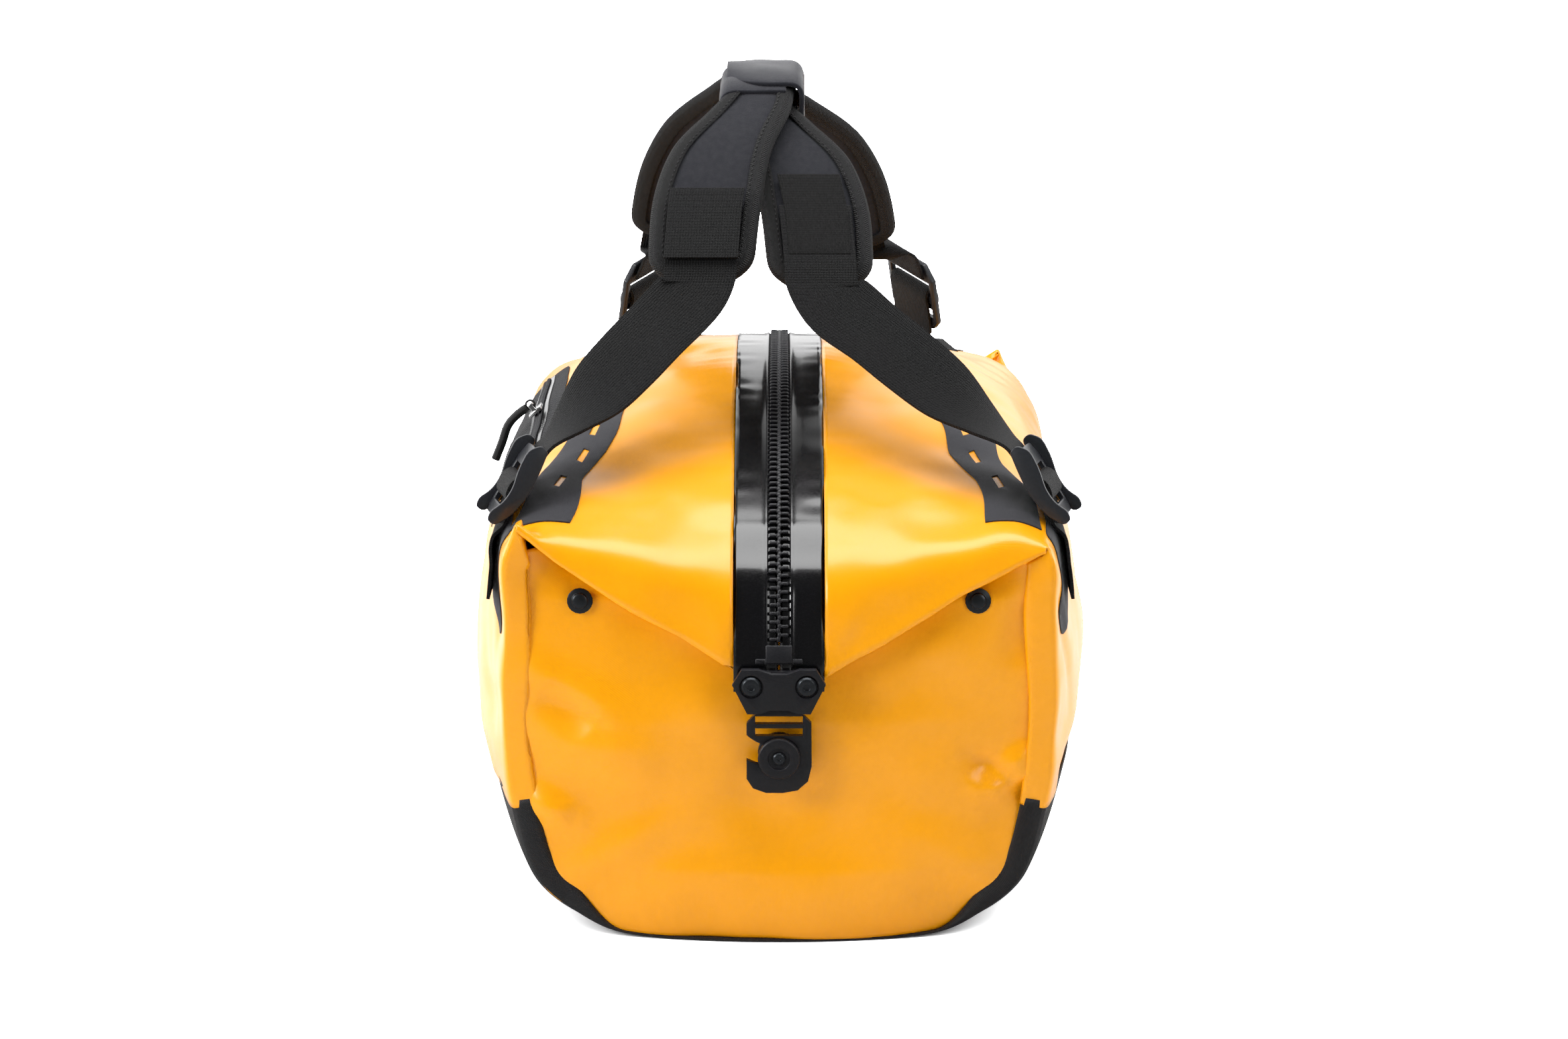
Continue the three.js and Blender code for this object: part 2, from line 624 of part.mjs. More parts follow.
// Ladder-lock frames: middle from the fold line, the way down the strap, and across it. Right side; the left is its mirror.
const lockSeat = {
  near: { offset: [-13.378, 8.478, 34.25], down: [0.52, -0.18, -0.835], across: [0.1, 0.98, 0.05] },
  far: { offset: [-7.449, -21.043, 38.413], down: [0.14, 0.28, -0.95], across: [-0.5, 0.84, 0.1] },
};

function lockFrame(side, end) {
  const seat = lockSeat[end];
  const mirror = ([x, y, z]) => V(x * side, y, z);
  const down = mirror(seat.down).normalize();
  const across = mirror(seat.across);
  across.addScaledVector(down, -across.dot(down)).normalize();
  const out = across.clone().cross(down).normalize();
  if (out.x * side < 0) out.negate();
  return { middle: hinge(side)[end].add(mirror(seat.offset)), down, across, out };
}

function lockPoint(frame, d, n, a = 0) {
  const down = frame.middle.clone().addScaledVector(frame.down, d);
  return down.addScaledVector(frame.out, n).addScaledVector(frame.across, a);
}

// A ladder lock lying flat: down is +X, across is +Y, out is +Z.
function ladderLock(side, end) {
  const h = lockWidth / 2;
  const l = lockLength / 2;
  const plate = polygon([
    [-l, -h + 8], [-l + 9, -h], [l - 6, -h], [l, -h + 6], [l, h - 6], [l - 6, h], [-l + 9, h], [-l, h - 8],
  ]);
  const slot = (x0, x1) => box(x1 - x0, webbingWidth + 2.4, 12, (x0 + x1) / 2, 0, 0);
  const body = new THREE.ExtrudeGeometry(plate, { depth: lockThickness, bevelEnabled: false });
  const solid = cut(body.translate(0, 0, -lockThickness / 2), slot(-l + 12, -1), slot(4, l - 8));
  const frame = lockFrame(side, end);
  const handed = frame.down.clone().cross(frame.across).dot(frame.out) > 0 ? 1 : -1;
  const across = frame.across.clone().multiplyScalar(handed);
  const matrix = new THREE.Matrix4().makeBasis(frame.down, across, frame.out);
  return solid.applyMatrix4(matrix).translate(frame.middle.x, frame.middle.y, frame.middle.z);
}

const webHalf = webbingThickness / 2;
const behind = -(lockThickness / 2 + gap + webHalf);

// Webbing from a pad down to the back of a lock's top plate.
function upperWebbing(side, end) {
  const pads = padFrames(side);
  if (end === "far") pads.reverse();
  const lift = padThickness / 2 + 0.8 + webHalf;
  const onPad = [2, 1, 0].map((i) => {
    const { centre, wide, up } = pads[i];
    return { centre: centre.clone().addScaledVector(up, lift), wide, halfWidth: webbingWidth / 2 };
  });
  const frame = lockFrame(side, end);
  const aim = lockPoint(frame, -lockLength / 2, behind).sub(pads[0].centre).normalize();
  const beyond = pads[0].centre.clone().sub(pads[1].centre).normalize();
  beyond.addScaledVector(aim, end === "near" ? 1.6 : 0).normalize();
  for (const reach of [7, 14])
    onPad.push({ ...onPad[2], centre: onPad[2].centre.clone().addScaledVector(beyond, reach) });
  const wide = frame.across.clone().multiplyScalar(end === "near" ? side : -side);
  const reaches = end === "near" ? [[-26, 3], [-6, 0], [10, 0]] : [[-10, 5], [8, 0.8]];
  const ends = reaches.map(([d, slack]) => ({
    centre: lockPoint(frame, d - lockLength / 2, behind - slack),
    wide,
    halfWidth: webbingWidth / 2,
  }));
  return ribbon(refine([...onPad, ...ends], 20), -webHalf, webHalf, 3);
}

// Webbing that loops over a lock's middle bar and runs down to the strap's anchor.
function lowerWebbing(side, end, foot) {
  const frame = lockFrame(side, end);
  const loop = [
    [9, 0.2], [8.4, 2.4], [4.4, 4.2], [-0.6, 4.2], [-4.6, 2], [-5, -1], [-1.6, behind], [8, behind],
    [lockLength / 2 - 6, behind], [lockLength / 2 + 1, behind - 0.4],
  ];
  const halfWidth = webbingWidth / 2;
  const frames = loop.map(([d, n]) => ({ centre: lockPoint(frame, d, n), wide: frame.across, halfWidth }));
  const start = foot.from.clone().addScaledVector(foot.towards, freeFrom);
  frames.push({ centre: start, wide: foot.wide, halfWidth });
  return ribbon(refine(frames, 27), -webHalf, webHalf);
}

function hinge(side) {
  const near = onSkin(nearAnchor.k, nearAnchor.y, side, 4.9);
  const far = onSkin(pointAtX(farAnchor.x, farAnchor.y), farAnchor.y, side, 7);
  return { near, far };
}

// Where a strap's webbing leaves the bag: a place on the fold line, the way to the lock, and the way across.
function foot(side, end) {
  const from = hinge(side)[end];
  const towards = lockPoint(lockFrame(side, end), lockLength / 2, behind).sub(from).normalize();
  const wide = end === "near" ? V(0, 1, 0) : V(-side * 0.2, 0.975, 0);
  return { from, towards, wide: wide.normalize() };
}

// The sewn end of a strap's webbing. It lies on its patch, then stands off it as far as the fold line and a
// little past it, where the part that swings begins.
function anchorTab(side, end) {
  const { from, towards, wide } = foot(side, end);
  const up = wide.clone().cross(towards).normalize();
  if (up.x * side < 0) up.negate();
  const columns = 6;
  const across = (c) => webbingWidth * (c / (columns - 1) - 0.5);
  const seated = (down, c, rise) => {
    const v = across(c);
    if (end === "near") return onSkin(nearAnchor.k - down / 40, nearAnchor.y + v, side, rise);
    const x = farAnchor.x + wide.x * side * v + down * wide.y;
    const y = farAnchor.y + wide.y * v - down * wide.x * side;
    return onSkin(pointAtX(x, y), y, side, rise);
  };
  const layer = (rise, lift) => [
    ...(end === "near" ? [22, 16, 10, 4] : [17, 12, 8, 4]).map((down) =>
      Array.from({ length: columns }, (_, c) => seated(down, c, rise)),
    ),
    ...[fixedTo / 2, fixedTo].map((t) =>
      Array.from({ length: columns }, (_, c) =>
        from.clone().addScaledVector(towards, t).addScaledVector(wide, across(c)).addScaledVector(up, lift),
      ),
    ),
  ];
  return slab(layer(3.8, webHalf), layer(1.8, -webHalf));
}

function shoulderPad(side) {
  return ribbon(padFrames(side), -padThickness / 2, padThickness / 2, 3);
}

for (const [side, word] of [[-1, "left"], [1, "right"]]) {
  part("shoulder_pad_" + word, shoulderPad(side), finish.neoprene);
  for (const end of ["near", "far"]) {
    part("strap_webbing_" + end + "_" + word, upperWebbing(side, end), finish.webbing);
    part("ladder_lock_" + end + "_" + word, ladderLock(side, end), finish.plastic);
    part("anchor_webbing_" + end + "_" + word, lowerWebbing(side, end, foot(side, end)), finish.webbing);
    part("anchor_tab_" + end + "_" + word, anchorTab(side, end), finish.webbing);
  }
}

// ---- the grip: a wrap on the left pad, with a flap that closes over the right-hand side and the top ----
const holdHalf = padWaist / 2 + 0.8;
const holdLow = gripZ - padThickness - 1.9;
const holdHigh = gripZ + padThickness + 1.2;
const along40 = gripHalf - 6;

function gripSection(points) {
  const shape = polygon(points.map(([x, z]) => [gripX + x, z]));
  const solid = new THREE.ExtrudeGeometry(shape, { depth: 2 * along40, bevelEnabled: false });
  return solid.rotateX(Math.PI / 2).translate(0, along40, 0);
}

function gripWrap() {
  const w = wrapThickness;
  return gripSection([
    [holdHalf, holdLow], [holdHalf, holdLow - w], [-holdHalf - w + 3, holdLow - w],
    [-holdHalf - w, holdLow - w + 3], [-holdHalf - w, holdHigh + w - 3], [-holdHalf - w + 3, holdHigh + w],
    [holdHalf - 5, holdHigh + w], [holdHalf - 5, holdHigh], [-holdHalf, holdHigh], [-holdHalf, holdLow],
  ]);
}

function gripFlap() {
  const w = wrapThickness;
  const top = holdHigh + w + gap;
  const right = holdHalf + gap;
  return gripSection([
    [right, holdLow - w + 1.6], [right + w, holdLow - w + 1.6], [right + w, top + w - 4],
    [right + w - 4, top + w], [-holdHalf + 1, top + w], [-holdHalf + 1, top], [right, top],
  ]);
}

part("grip_wrap", gripWrap(), finish.neoprene);
part("grip_flap", gripFlap(), finish.neoprene);

export default root;
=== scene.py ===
import math
import bpy
import bmesh
import numpy as np
from mathutils import Matrix, Vector, noise
from mathutils.bvhtree import BVHTree


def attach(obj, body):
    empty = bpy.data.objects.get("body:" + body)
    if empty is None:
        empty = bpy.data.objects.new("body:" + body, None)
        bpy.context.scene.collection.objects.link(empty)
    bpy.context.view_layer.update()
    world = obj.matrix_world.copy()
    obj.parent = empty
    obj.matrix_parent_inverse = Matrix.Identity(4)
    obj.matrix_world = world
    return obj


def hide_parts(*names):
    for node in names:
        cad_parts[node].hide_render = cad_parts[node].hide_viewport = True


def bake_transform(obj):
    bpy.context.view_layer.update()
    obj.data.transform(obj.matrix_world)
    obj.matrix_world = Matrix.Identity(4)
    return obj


# A yellow waterproof duffel seen from one end. Lengths here are millimetres until a mesh is made.
# X runs across the bag, Y along its zip, and the near end, which faces the camera, is at -Y.

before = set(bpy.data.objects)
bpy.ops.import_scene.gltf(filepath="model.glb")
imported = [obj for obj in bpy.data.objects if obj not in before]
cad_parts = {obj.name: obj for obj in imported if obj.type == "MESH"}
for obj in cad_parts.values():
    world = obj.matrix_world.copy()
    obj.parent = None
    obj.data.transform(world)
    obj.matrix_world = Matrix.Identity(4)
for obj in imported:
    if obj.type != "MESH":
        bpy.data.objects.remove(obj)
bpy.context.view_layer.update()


# ---- colours and shader nodes ----

def linear(code):
    values = [int(code[i:i + 2], 16) / 255 for i in (1, 3, 5)]
    return [v / 12.92 if v <= 0.04045 else ((v + 0.055) / 1.055) ** 2.4 for v in values] + [1.0]


# Adds a node. A setting is one of its own properties, or else the value of one of its sockets.
def add(tree, kind, settings, links):
    node = tree.nodes.new("ShaderNode" + kind)
    for key, value in settings.items():
        if isinstance(key, str) and hasattr(node, key):
            setattr(node, key, value)
        else:
            node.inputs[key].default_value = value
    for key, source in links.items():
        tree.links.new(source, node.inputs[key])
    return node


def blank(name, colour, roughness, more):
    material = bpy.data.materials.new(name)
    material.use_nodes = True
    tree = material.node_tree
    tree.nodes.clear()
    shader = add(tree, "BsdfPrincipled", {"Base Color": linear(colour), "Roughness": roughness, **more}, {})
    add(tree, "OutputMaterial", {}, {"Surface": shader.outputs[0]})
    return material, tree, shader


# Stacks layers of relief on a surface, each (height, strength, depth).
def pressed(tree, shader, *layers):
    links = {}
    for height, strength, depth in layers:
        links["Height"] = height
        relief = add(tree, "Bump", {"Strength": strength, "Distance": depth * 0.001}, links)
        links = {"Normal": relief.outputs[0]}
    tree.links.new(relief.outputs[0], shader.inputs["Normal"])


# The UV map of every piece of cloth is in millimetres, across and along it.
def clothPlace(tree):
    uv = add(tree, "UVMap", {"uv_map": "cloth"}, {})
    split = add(tree, "SeparateXYZ", {}, {"Vector": uv.outputs[0]})
    return split.outputs[0], split.outputs[1]


# A row of ribs one pitch apart.
def ribs(tree, coordinate, pitch):
    turn = add(tree, "Math", {"operation": "MULTIPLY", 1: 2 * math.pi / pitch}, {0: coordinate})
    return add(tree, "Math", {"operation": "SINE"}, {0: turn.outputs[0]}).outputs[0]


# An uneven grain that stays with the piece.
def grain(tree, scale, detail=2.0, roughness=0.5):
    place = add(tree, "TexCoord", {}, {}).outputs["Object"]
    settings = {"Scale": scale, "Detail": detail, "Roughness": roughness}
    return add(tree, "TexNoise", settings, {"Vector": place}).outputs[0]


def uneven(tree, shader, source, low, high):
    spread = add(tree, "MapRange", {"To Min": low, "To Max": high}, {0: source})
    tree.links.new(spread.outputs[0], shader.inputs["Roughness"])


def tarpaulin():
    # coated polyester: a glossy plastic film pressed over a fine weave
    gloss = {"Coat Weight": 0.4, "Coat Roughness": 0.2, "Specular IOR Level": 0.35}
    material, tree, shader = blank("yellow coated tarpaulin", "#F3A000", 0.36, gloss)
    u, v = clothPlace(tree)
    thread = 1.15  # millimetres from thread to thread
    weave = add(tree, "Math", {"operation": "MULTIPLY"}, {0: ribs(tree, u, thread), 1: ribs(tree, v, thread)})
    pressed(tree, shader, (grain(tree, 32.0, 1.0, 0.4), 0.4, 1.0), (weave.outputs[0], 0.25, 0.08))
    uneven(tree, shader, grain(tree, 70.0), 0.26, 0.34)
    return material


def zipTapeFilm():
    # black polyurethane film on the zip tape, smooth, with fine dust that catches the light
    material, tree, shader = blank("black laminated zip tape", "#060608", 0.2,
                                   {"Coat Weight": 0.5, "Coat Roughness": 0.1})
    pressed(tree, shader, (grain(tree, 60.0), 0.15, 0.6), (grain(tree, 1500.0, 1.0), 0.22, 0.08))
    uneven(tree, shader, grain(tree, 900.0), 0.12, 0.3)
    return material


def baseCloth():
    # heavy coated fabric with a diagonal twill pressed into it
    material, tree, shader = blank("black twill base fabric", "#131315", 0.62, {})
    u, v = clothPlace(tree)
    slope = add(tree, "Math", {"operation": "ADD"}, {0: u, 1: v}).outputs[0]
    pressed(tree, shader, (ribs(tree, slope, 1.3), 0.6, 0.2))
    return material


def feltCloth(name, colour):
    # matt nylon with a dry, slightly felted face
    material, tree, shader = blank(name, colour, 0.9, {"Sheen Weight": 0.12})
    pressed(tree, shader, (grain(tree, 1900.0), 0.5, 0.16))
    return material


def meshCloth():
    # embossed stretch fabric of the pocket: rows of small dimples
    material, tree, shader = blank("black dimpled pocket fabric", "#17171A", 0.78, {})
    u, v = clothPlace(tree)
    dimples = add(tree, "Math", {"operation": "MULTIPLY"}, {0: ribs(tree, u, 4.6), 1: ribs(tree, v, 4.6)})
    pressed(tree, shader, (dimples.outputs[0], 0.9, 0.7))
    return material


def ribbedWebbing(name, pitch, colour):
    # woven polyester: fine ribs across the strap and a plainer edge
    material, tree, shader = blank(name, colour, 0.72, {"Specular IOR Level": 0.3})
    u, v = clothPlace(tree)
    across = add(tree, "Math", {"operation": "ABSOLUTE"}, {0: ribs(tree, v, pitch * 2)})
    along = add(tree, "Math", {"operation": "MULTIPLY", 1: 0.45}, {0: ribs(tree, u, 1.5)})
    both = add(tree, "Math", {"operation": "ADD"}, {0: across.outputs[0], 1: along.outputs[0]})
    pressed(tree, shader, (both.outputs[0], 0.8, 0.32))
    return material


def knit(name, colour):
    # brushed knit over foam, blue-black, soft
    material, tree, shader = blank(name, colour, 0.92, {"Sheen Weight": 0.25, "Sheen Roughness": 0.4})
    pressed(tree, shader, (grain(tree, 1300.0, 3.0, 0.6), 0.5, 0.25))
    uneven(tree, shader, grain(tree, 260.0), 0.82, 1.0)
    return material


def bindingTape():
    # herringbone binding folded over the pad's edge
    material, tree, shader = blank("black herringbone binding", "#0A0A0C", 0.8, {})
    u, v = clothPlace(tree)
    value = u
    steps = (("DIVIDE", 5.0), ("FRACT", None), ("SUBTRACT", 0.5), ("ABSOLUTE", None), ("MULTIPLY", 5.0))
    for operation, number in steps:  # folds the width into a zigzag 5 mm wide
        settings = {"operation": operation} if number is None else {"operation": operation, 1: number}
        value = add(tree, "Math", settings, {0: value}).outputs[0]
    zigzag = add(tree, "Math", {"operation": "ADD"}, {0: value, 1: v}).outputs[0]
    pressed(tree, shader, (ribs(tree, zigzag, 1.25), 0.8, 0.3))
    return material


def moulded(name, colour, roughness, size=700.0):
    # injection-moulded nylon with a faint spark-eroded grain
    material, tree, shader = blank(name, colour, roughness, {})
    pressed(tree, shader, (grain(tree, size), 0.25, 0.1))
    return material


def metal(name, colour, roughness, metallic):
    # plated or coated metal, nearly smooth
    material, tree, shader = blank(name, colour, roughness, {"Metallic": metallic})
    pressed(tree, shader, (grain(tree, 500.0), 0.1, 0.05))
    return material


looks = {
    "tarpaulin": tarpaulin(),
    "tape": zipTapeFilm(),
    "base": baseCloth(),
    "felt": feltCloth("charcoal nylon patch", "#1F1F25"),
    "pocket": meshCloth(),
    "webbing": ribbedWebbing("black strap webbing", 0.95, "#050506"),
    "fineWebbing": ribbedWebbing("black adjuster webbing", 0.6, "#040404"),
    "knit": knit("blue-black brushed knit", "#13141C"),
    "wrapKnit": knit("slate brushed neoprene", "#14151E"),
    "binding": bindingTape(),
    "thread": feltCloth("black bonded thread", "#0A0A0B"),
    "nylon": moulded("black moulded nylon", "#121217", 0.46),
    "satin": moulded("satin grey-black acetal", "#232529", 0.34, 300.0),
    "gloss": moulded("smooth black moulding", "#101013", 0.3, 300.0),
    "steel": metal("black coated screw steel", "#3A3D40", 0.33, 0.85),
    "chrome": metal("bright plated metal", "#E8E8E8", 0.16, 1.0),
    "rubber": moulded("black soft rubber", "#0E0E0F", 0.55),
}


# ---- meshes ----

def meshFrom(bm, name):
    mesh = bpy.data.meshes.new(name)
    bm.to_mesh(mesh)
    bm.free()
    return mesh


def finished(name, mesh, look):
    mesh.materials.append(looks[look])
    thing = bpy.data.objects.new(name, mesh)
    bpy.context.scene.collection.objects.link(thing)
    mesh.shade_smooth()
    return thing


# A sheet through a grid of points, [row][column], with its UV map in millimetres.
def sheetOf(name, points, look, turned=False):
    points = np.asarray(points, float)
    rows, columns = points.shape[:2]
    bm = bmesh.new()
    bmesh.ops.create_grid(bm, x_segments=columns - 1, y_segments=rows - 1, size=1)
    for v, place in zip(bm.verts, points.reshape(-1, 3) * 0.001):
        v.co = place
    if turned:
        bmesh.ops.reverse_faces(bm, faces=list(bm.faces))
    mesh = meshFrom(bm, name)
    uv = np.zeros((rows, columns, 2))
    uv[:, 1:, 0] = np.linalg.norm(np.diff(points, axis=1), axis=2).cumsum(1)
    uv[1:, :, 1] = np.linalg.norm(np.diff(points, axis=0), axis=2).cumsum(0)
    layer = mesh.uv_layers.new(name="cloth")
    loops = np.zeros(len(mesh.loops), int)
    mesh.loops.foreach_get("vertex_index", loops)
    layer.data.foreach_set("uv", uv.reshape(-1, 2)[loops].astype(np.float32).ravel())
    return finished(name, mesh, look)


def thicken(thing, thickness, offset=-1.0, edge=0.0):
    solid = thing.modifiers.new("cloth", "SOLIDIFY")
    solid.thickness = thickness * 0.001
    solid.offset = offset
    if edge:
        soften(thing, edge)
    return thing


def soften(thing, width, segments=2, angle=40):
    bevel = thing.modifiers.new("edges", "BEVEL")
    bevel.width = width * 0.001
    bevel.segments = segments
    bevel.limit_method = "ANGLE"
    bevel.angle_limit = math.radians(angle)
    return thing


def rounder(thing, levels=1):
    smooth = thing.modifiers.new("rounder", "SUBSURF")
    smooth.levels = levels
    smooth.render_levels = levels
    return thing


# The length along a line of points, from its first point.
def lengthAlong(line):
    return np.concatenate([[0], np.linalg.norm(np.diff(line, axis=0), axis=1).cumsum()])


# The same arc-length spacing that a centripetal curve through the points gives.
def splined(points, t):
    p = np.asarray(points, float)
    p = np.vstack([2 * p[0] - p[1], p, 2 * p[-1] - p[-2]])
    step = np.maximum(np.linalg.norm(np.diff(p, axis=0), axis=1), 1e-6) ** 0.5
    count = len(points) - 1
    place = np.clip(np.asarray(t, float), 0, 1) * count
    i = np.minimum(place.astype(int), count - 1)
    f = (place - i)[:, None]
    a, b, c, d = p[i], p[i + 1], p[i + 2], p[i + 3]
    h0, h1, h2 = step[i][:, None], step[i + 1][:, None], step[i + 2][:, None]
    m1 = ((b - a) / h0 - (c - a) / (h0 + h1) + (c - b) / h1) * h1
    m2 = ((c - b) / h1 - (d - b) / (h1 + h2) + (d - c) / h2) * h1
    return b + m1 * f + (-3 * b + 3 * c - 2 * m1 - m2) * f ** 2 + (2 * b - 2 * c + m1 + m2) * f ** 3


# ---- the filled bag's shape ----

bag = {"length": 456, "width": 346, "rimWidth": 300, "crest": 277, "rimZip": 208, "ear": 220, "tape": 24}
half = bag["width"] / 2
rimHalf = bag["rimWidth"] / 2
rimY = bag["length"] / 2
drop = bag["crest"] - bag["rimZip"]
arcRadius = (rimY ** 2 + drop ** 2) / (2 * drop)
midOutline = np.array([
    [0, 0], [70, 0], [118, 6], [half - 22, 36], [half - 6, 80], [half, 130], [half - 7, 185], [half - 22, 226],
    [half - 49, bag["crest"] - 26], [half - 93, bag["crest"] - 9],
    [bag["tape"], bag["crest"] - 0.6], [0, bag["crest"]],
])
rimOutline = np.array([
    [0, 0], [60, 0], [98, 5], [rimHalf - 19, 28], [rimHalf - 5, 72], [rimHalf, 120], [rimHalf - 2, 176],
    [rimHalf - 4, bag["ear"] - 6], [rimHalf - 17, bag["ear"] - 0.5], [80, bag["rimZip"] + 6],
    [bag["tape"], bag["rimZip"] + 0.5], [0, bag["rimZip"]],
])
lastPoint = len(midOutline) - 1
stationLength = 40  # about how much cloth lies between two of the outline's points
handOf = {-1: "left", 1: "right"}


def ridge(y):
    return bag["crest"] - arcRadius + np.sqrt(arcRadius ** 2 - np.asarray(y, float) ** 2)


def outlineAt(y):
    toEnd = (abs(y) / rimY) ** 3
    fallen = (bag["crest"] - ridge(y)) / drop
    x = midOutline[:, 0] + (rimOutline[:, 0] - midOutline[:, 0]) * toEnd
    blend = np.where(np.arange(lastPoint + 1) > 5, fallen, toEnd)
    z = midOutline[:, 1] + (rimOutline[:, 1] - midOutline[:, 1]) * blend
    return np.stack([x, np.full_like(x, y), z], -1)


def shellRow(k, y, side):
    k = np.asarray(k, float)
    p = splined(outlineAt(y), np.abs(k) / lastPoint)
    p[:, 0] *= side * np.where(k < 0, -1, 1)
    p[:, 2] = np.maximum(p[:, 2], 0)
    return p


def shellPoint(k, y, side, rise=0.0):
    p = shellRow([k], y, side)[0]
    if not rise:
        return p
    return p + shellNormal(k, y, side) * rise


def shellNormal(k, y, side):
    k0 = min(k, lastPoint - 0.02)
    y0 = min(y, rimY - 1)
    across = shellRow([k0 + 0.02], y, side)[0] - shellRow([k0], y, side)[0]
    back = shellRow([k0], y0 + 1, side)[0] - shellRow([k0], y0, side)[0]
    n = np.cross(across, back) * (-1 if side > 0 else 1)
    return n / np.linalg.norm(n)


def kAtX(x, y):
    low, high = 7.0, float(lastPoint)
    for i in range(26):
        middle = (low + high) / 2
        if shellRow([middle], y, 1)[0][0] > x:
            low = middle
        else:
            high = middle
    return low


def unit(v):
    return v / np.maximum(np.linalg.norm(v, axis=-1, keepdims=True), 1e-9)


def gridNormals(p):
    across = np.gradient(p, axis=1)
    along = np.gradient(p, axis=0)
    return unit(np.cross(across, along))


# Long soft ridges or folds: each is (start, end, half width, height).
def creased(points, normals, ridges):
    moved = points.copy()
    for a, b, width, height in ridges:
        a, b = np.array(a, float), np.array(b, float)
        d = b - a
        t = np.clip(((points - a) @ d) / (d @ d), 0, 1)
        away = np.linalg.norm(points - (a + t[..., None] * d), axis=-1)
        fade = np.sin(np.pi * np.clip(t * 0.86 + 0.07, 0, 1)) ** 0.7
        moved += normals * (height * fade * np.exp(-(away / width) ** 2))[..., None]
    return moved


def roughened(points, normals, size, height, seed):
    flat = points.reshape(-1, 3)
    shift = Vector((seed * 13.1, seed * 7.7, seed * 3.3))
    value = np.array([noise.noise(Vector(p / size) + shift) for p in flat]).reshape(points.shape[:-1])
    return points + normals * (value * height)[..., None]


# The end panel swells out past its rim.
def endFace(x, z):
    across = np.maximum(0, 1 - np.abs(x / rimHalf) ** 2.4)
    up = np.clip(z / 202, 0, 1)
    rise = np.minimum(1, 1.22 * np.sin(np.pi * up ** 0.72))
    sag = 19 * np.clip(1 - (np.abs(x) / 116) ** 2, 0, 1) * np.clip(1 - z / 80, 0, 1) ** 1.5
    return rimY - 2 + 15 * across * rise + sag


# The folded edge of the top, from the plate out to the ear: [x, y, z] at the near end.
foldLines = {
    -1: [[24.4, -247.4, 153.5], [53, -243, 171.5], [95, -236.5, 195.5],
         [119, -232.5, 210], [133, -230, 222], [141, -229, 228]],
    1: [[24.4, -247.4, 150.5], [57, -243, 168.5], [99, -236, 194],
        [128, -231.5, 209], [141, -229.6, 214], [148, -228.6, 216]],
}


def foldPoint(side, x):
    p = np.array(foldLines[side])
    return np.array([x * side, np.interp(x, p[:, 0], p[:, 1]), np.interp(x, p[:, 0], p[:, 2])])


def bezier(a, b, c, d, t):
    t = t[:, None]
    return a * (1 - t) ** 3 + 3 * b * t * (1 - t) ** 2 + 3 * c * t ** 2 * (1 - t) + d * t ** 3


def smoothstep(low, high, x):
    t = min(1.0, max(0.0, (x - low) / (high - low)))
    return t * t * (3 - 2 * t)


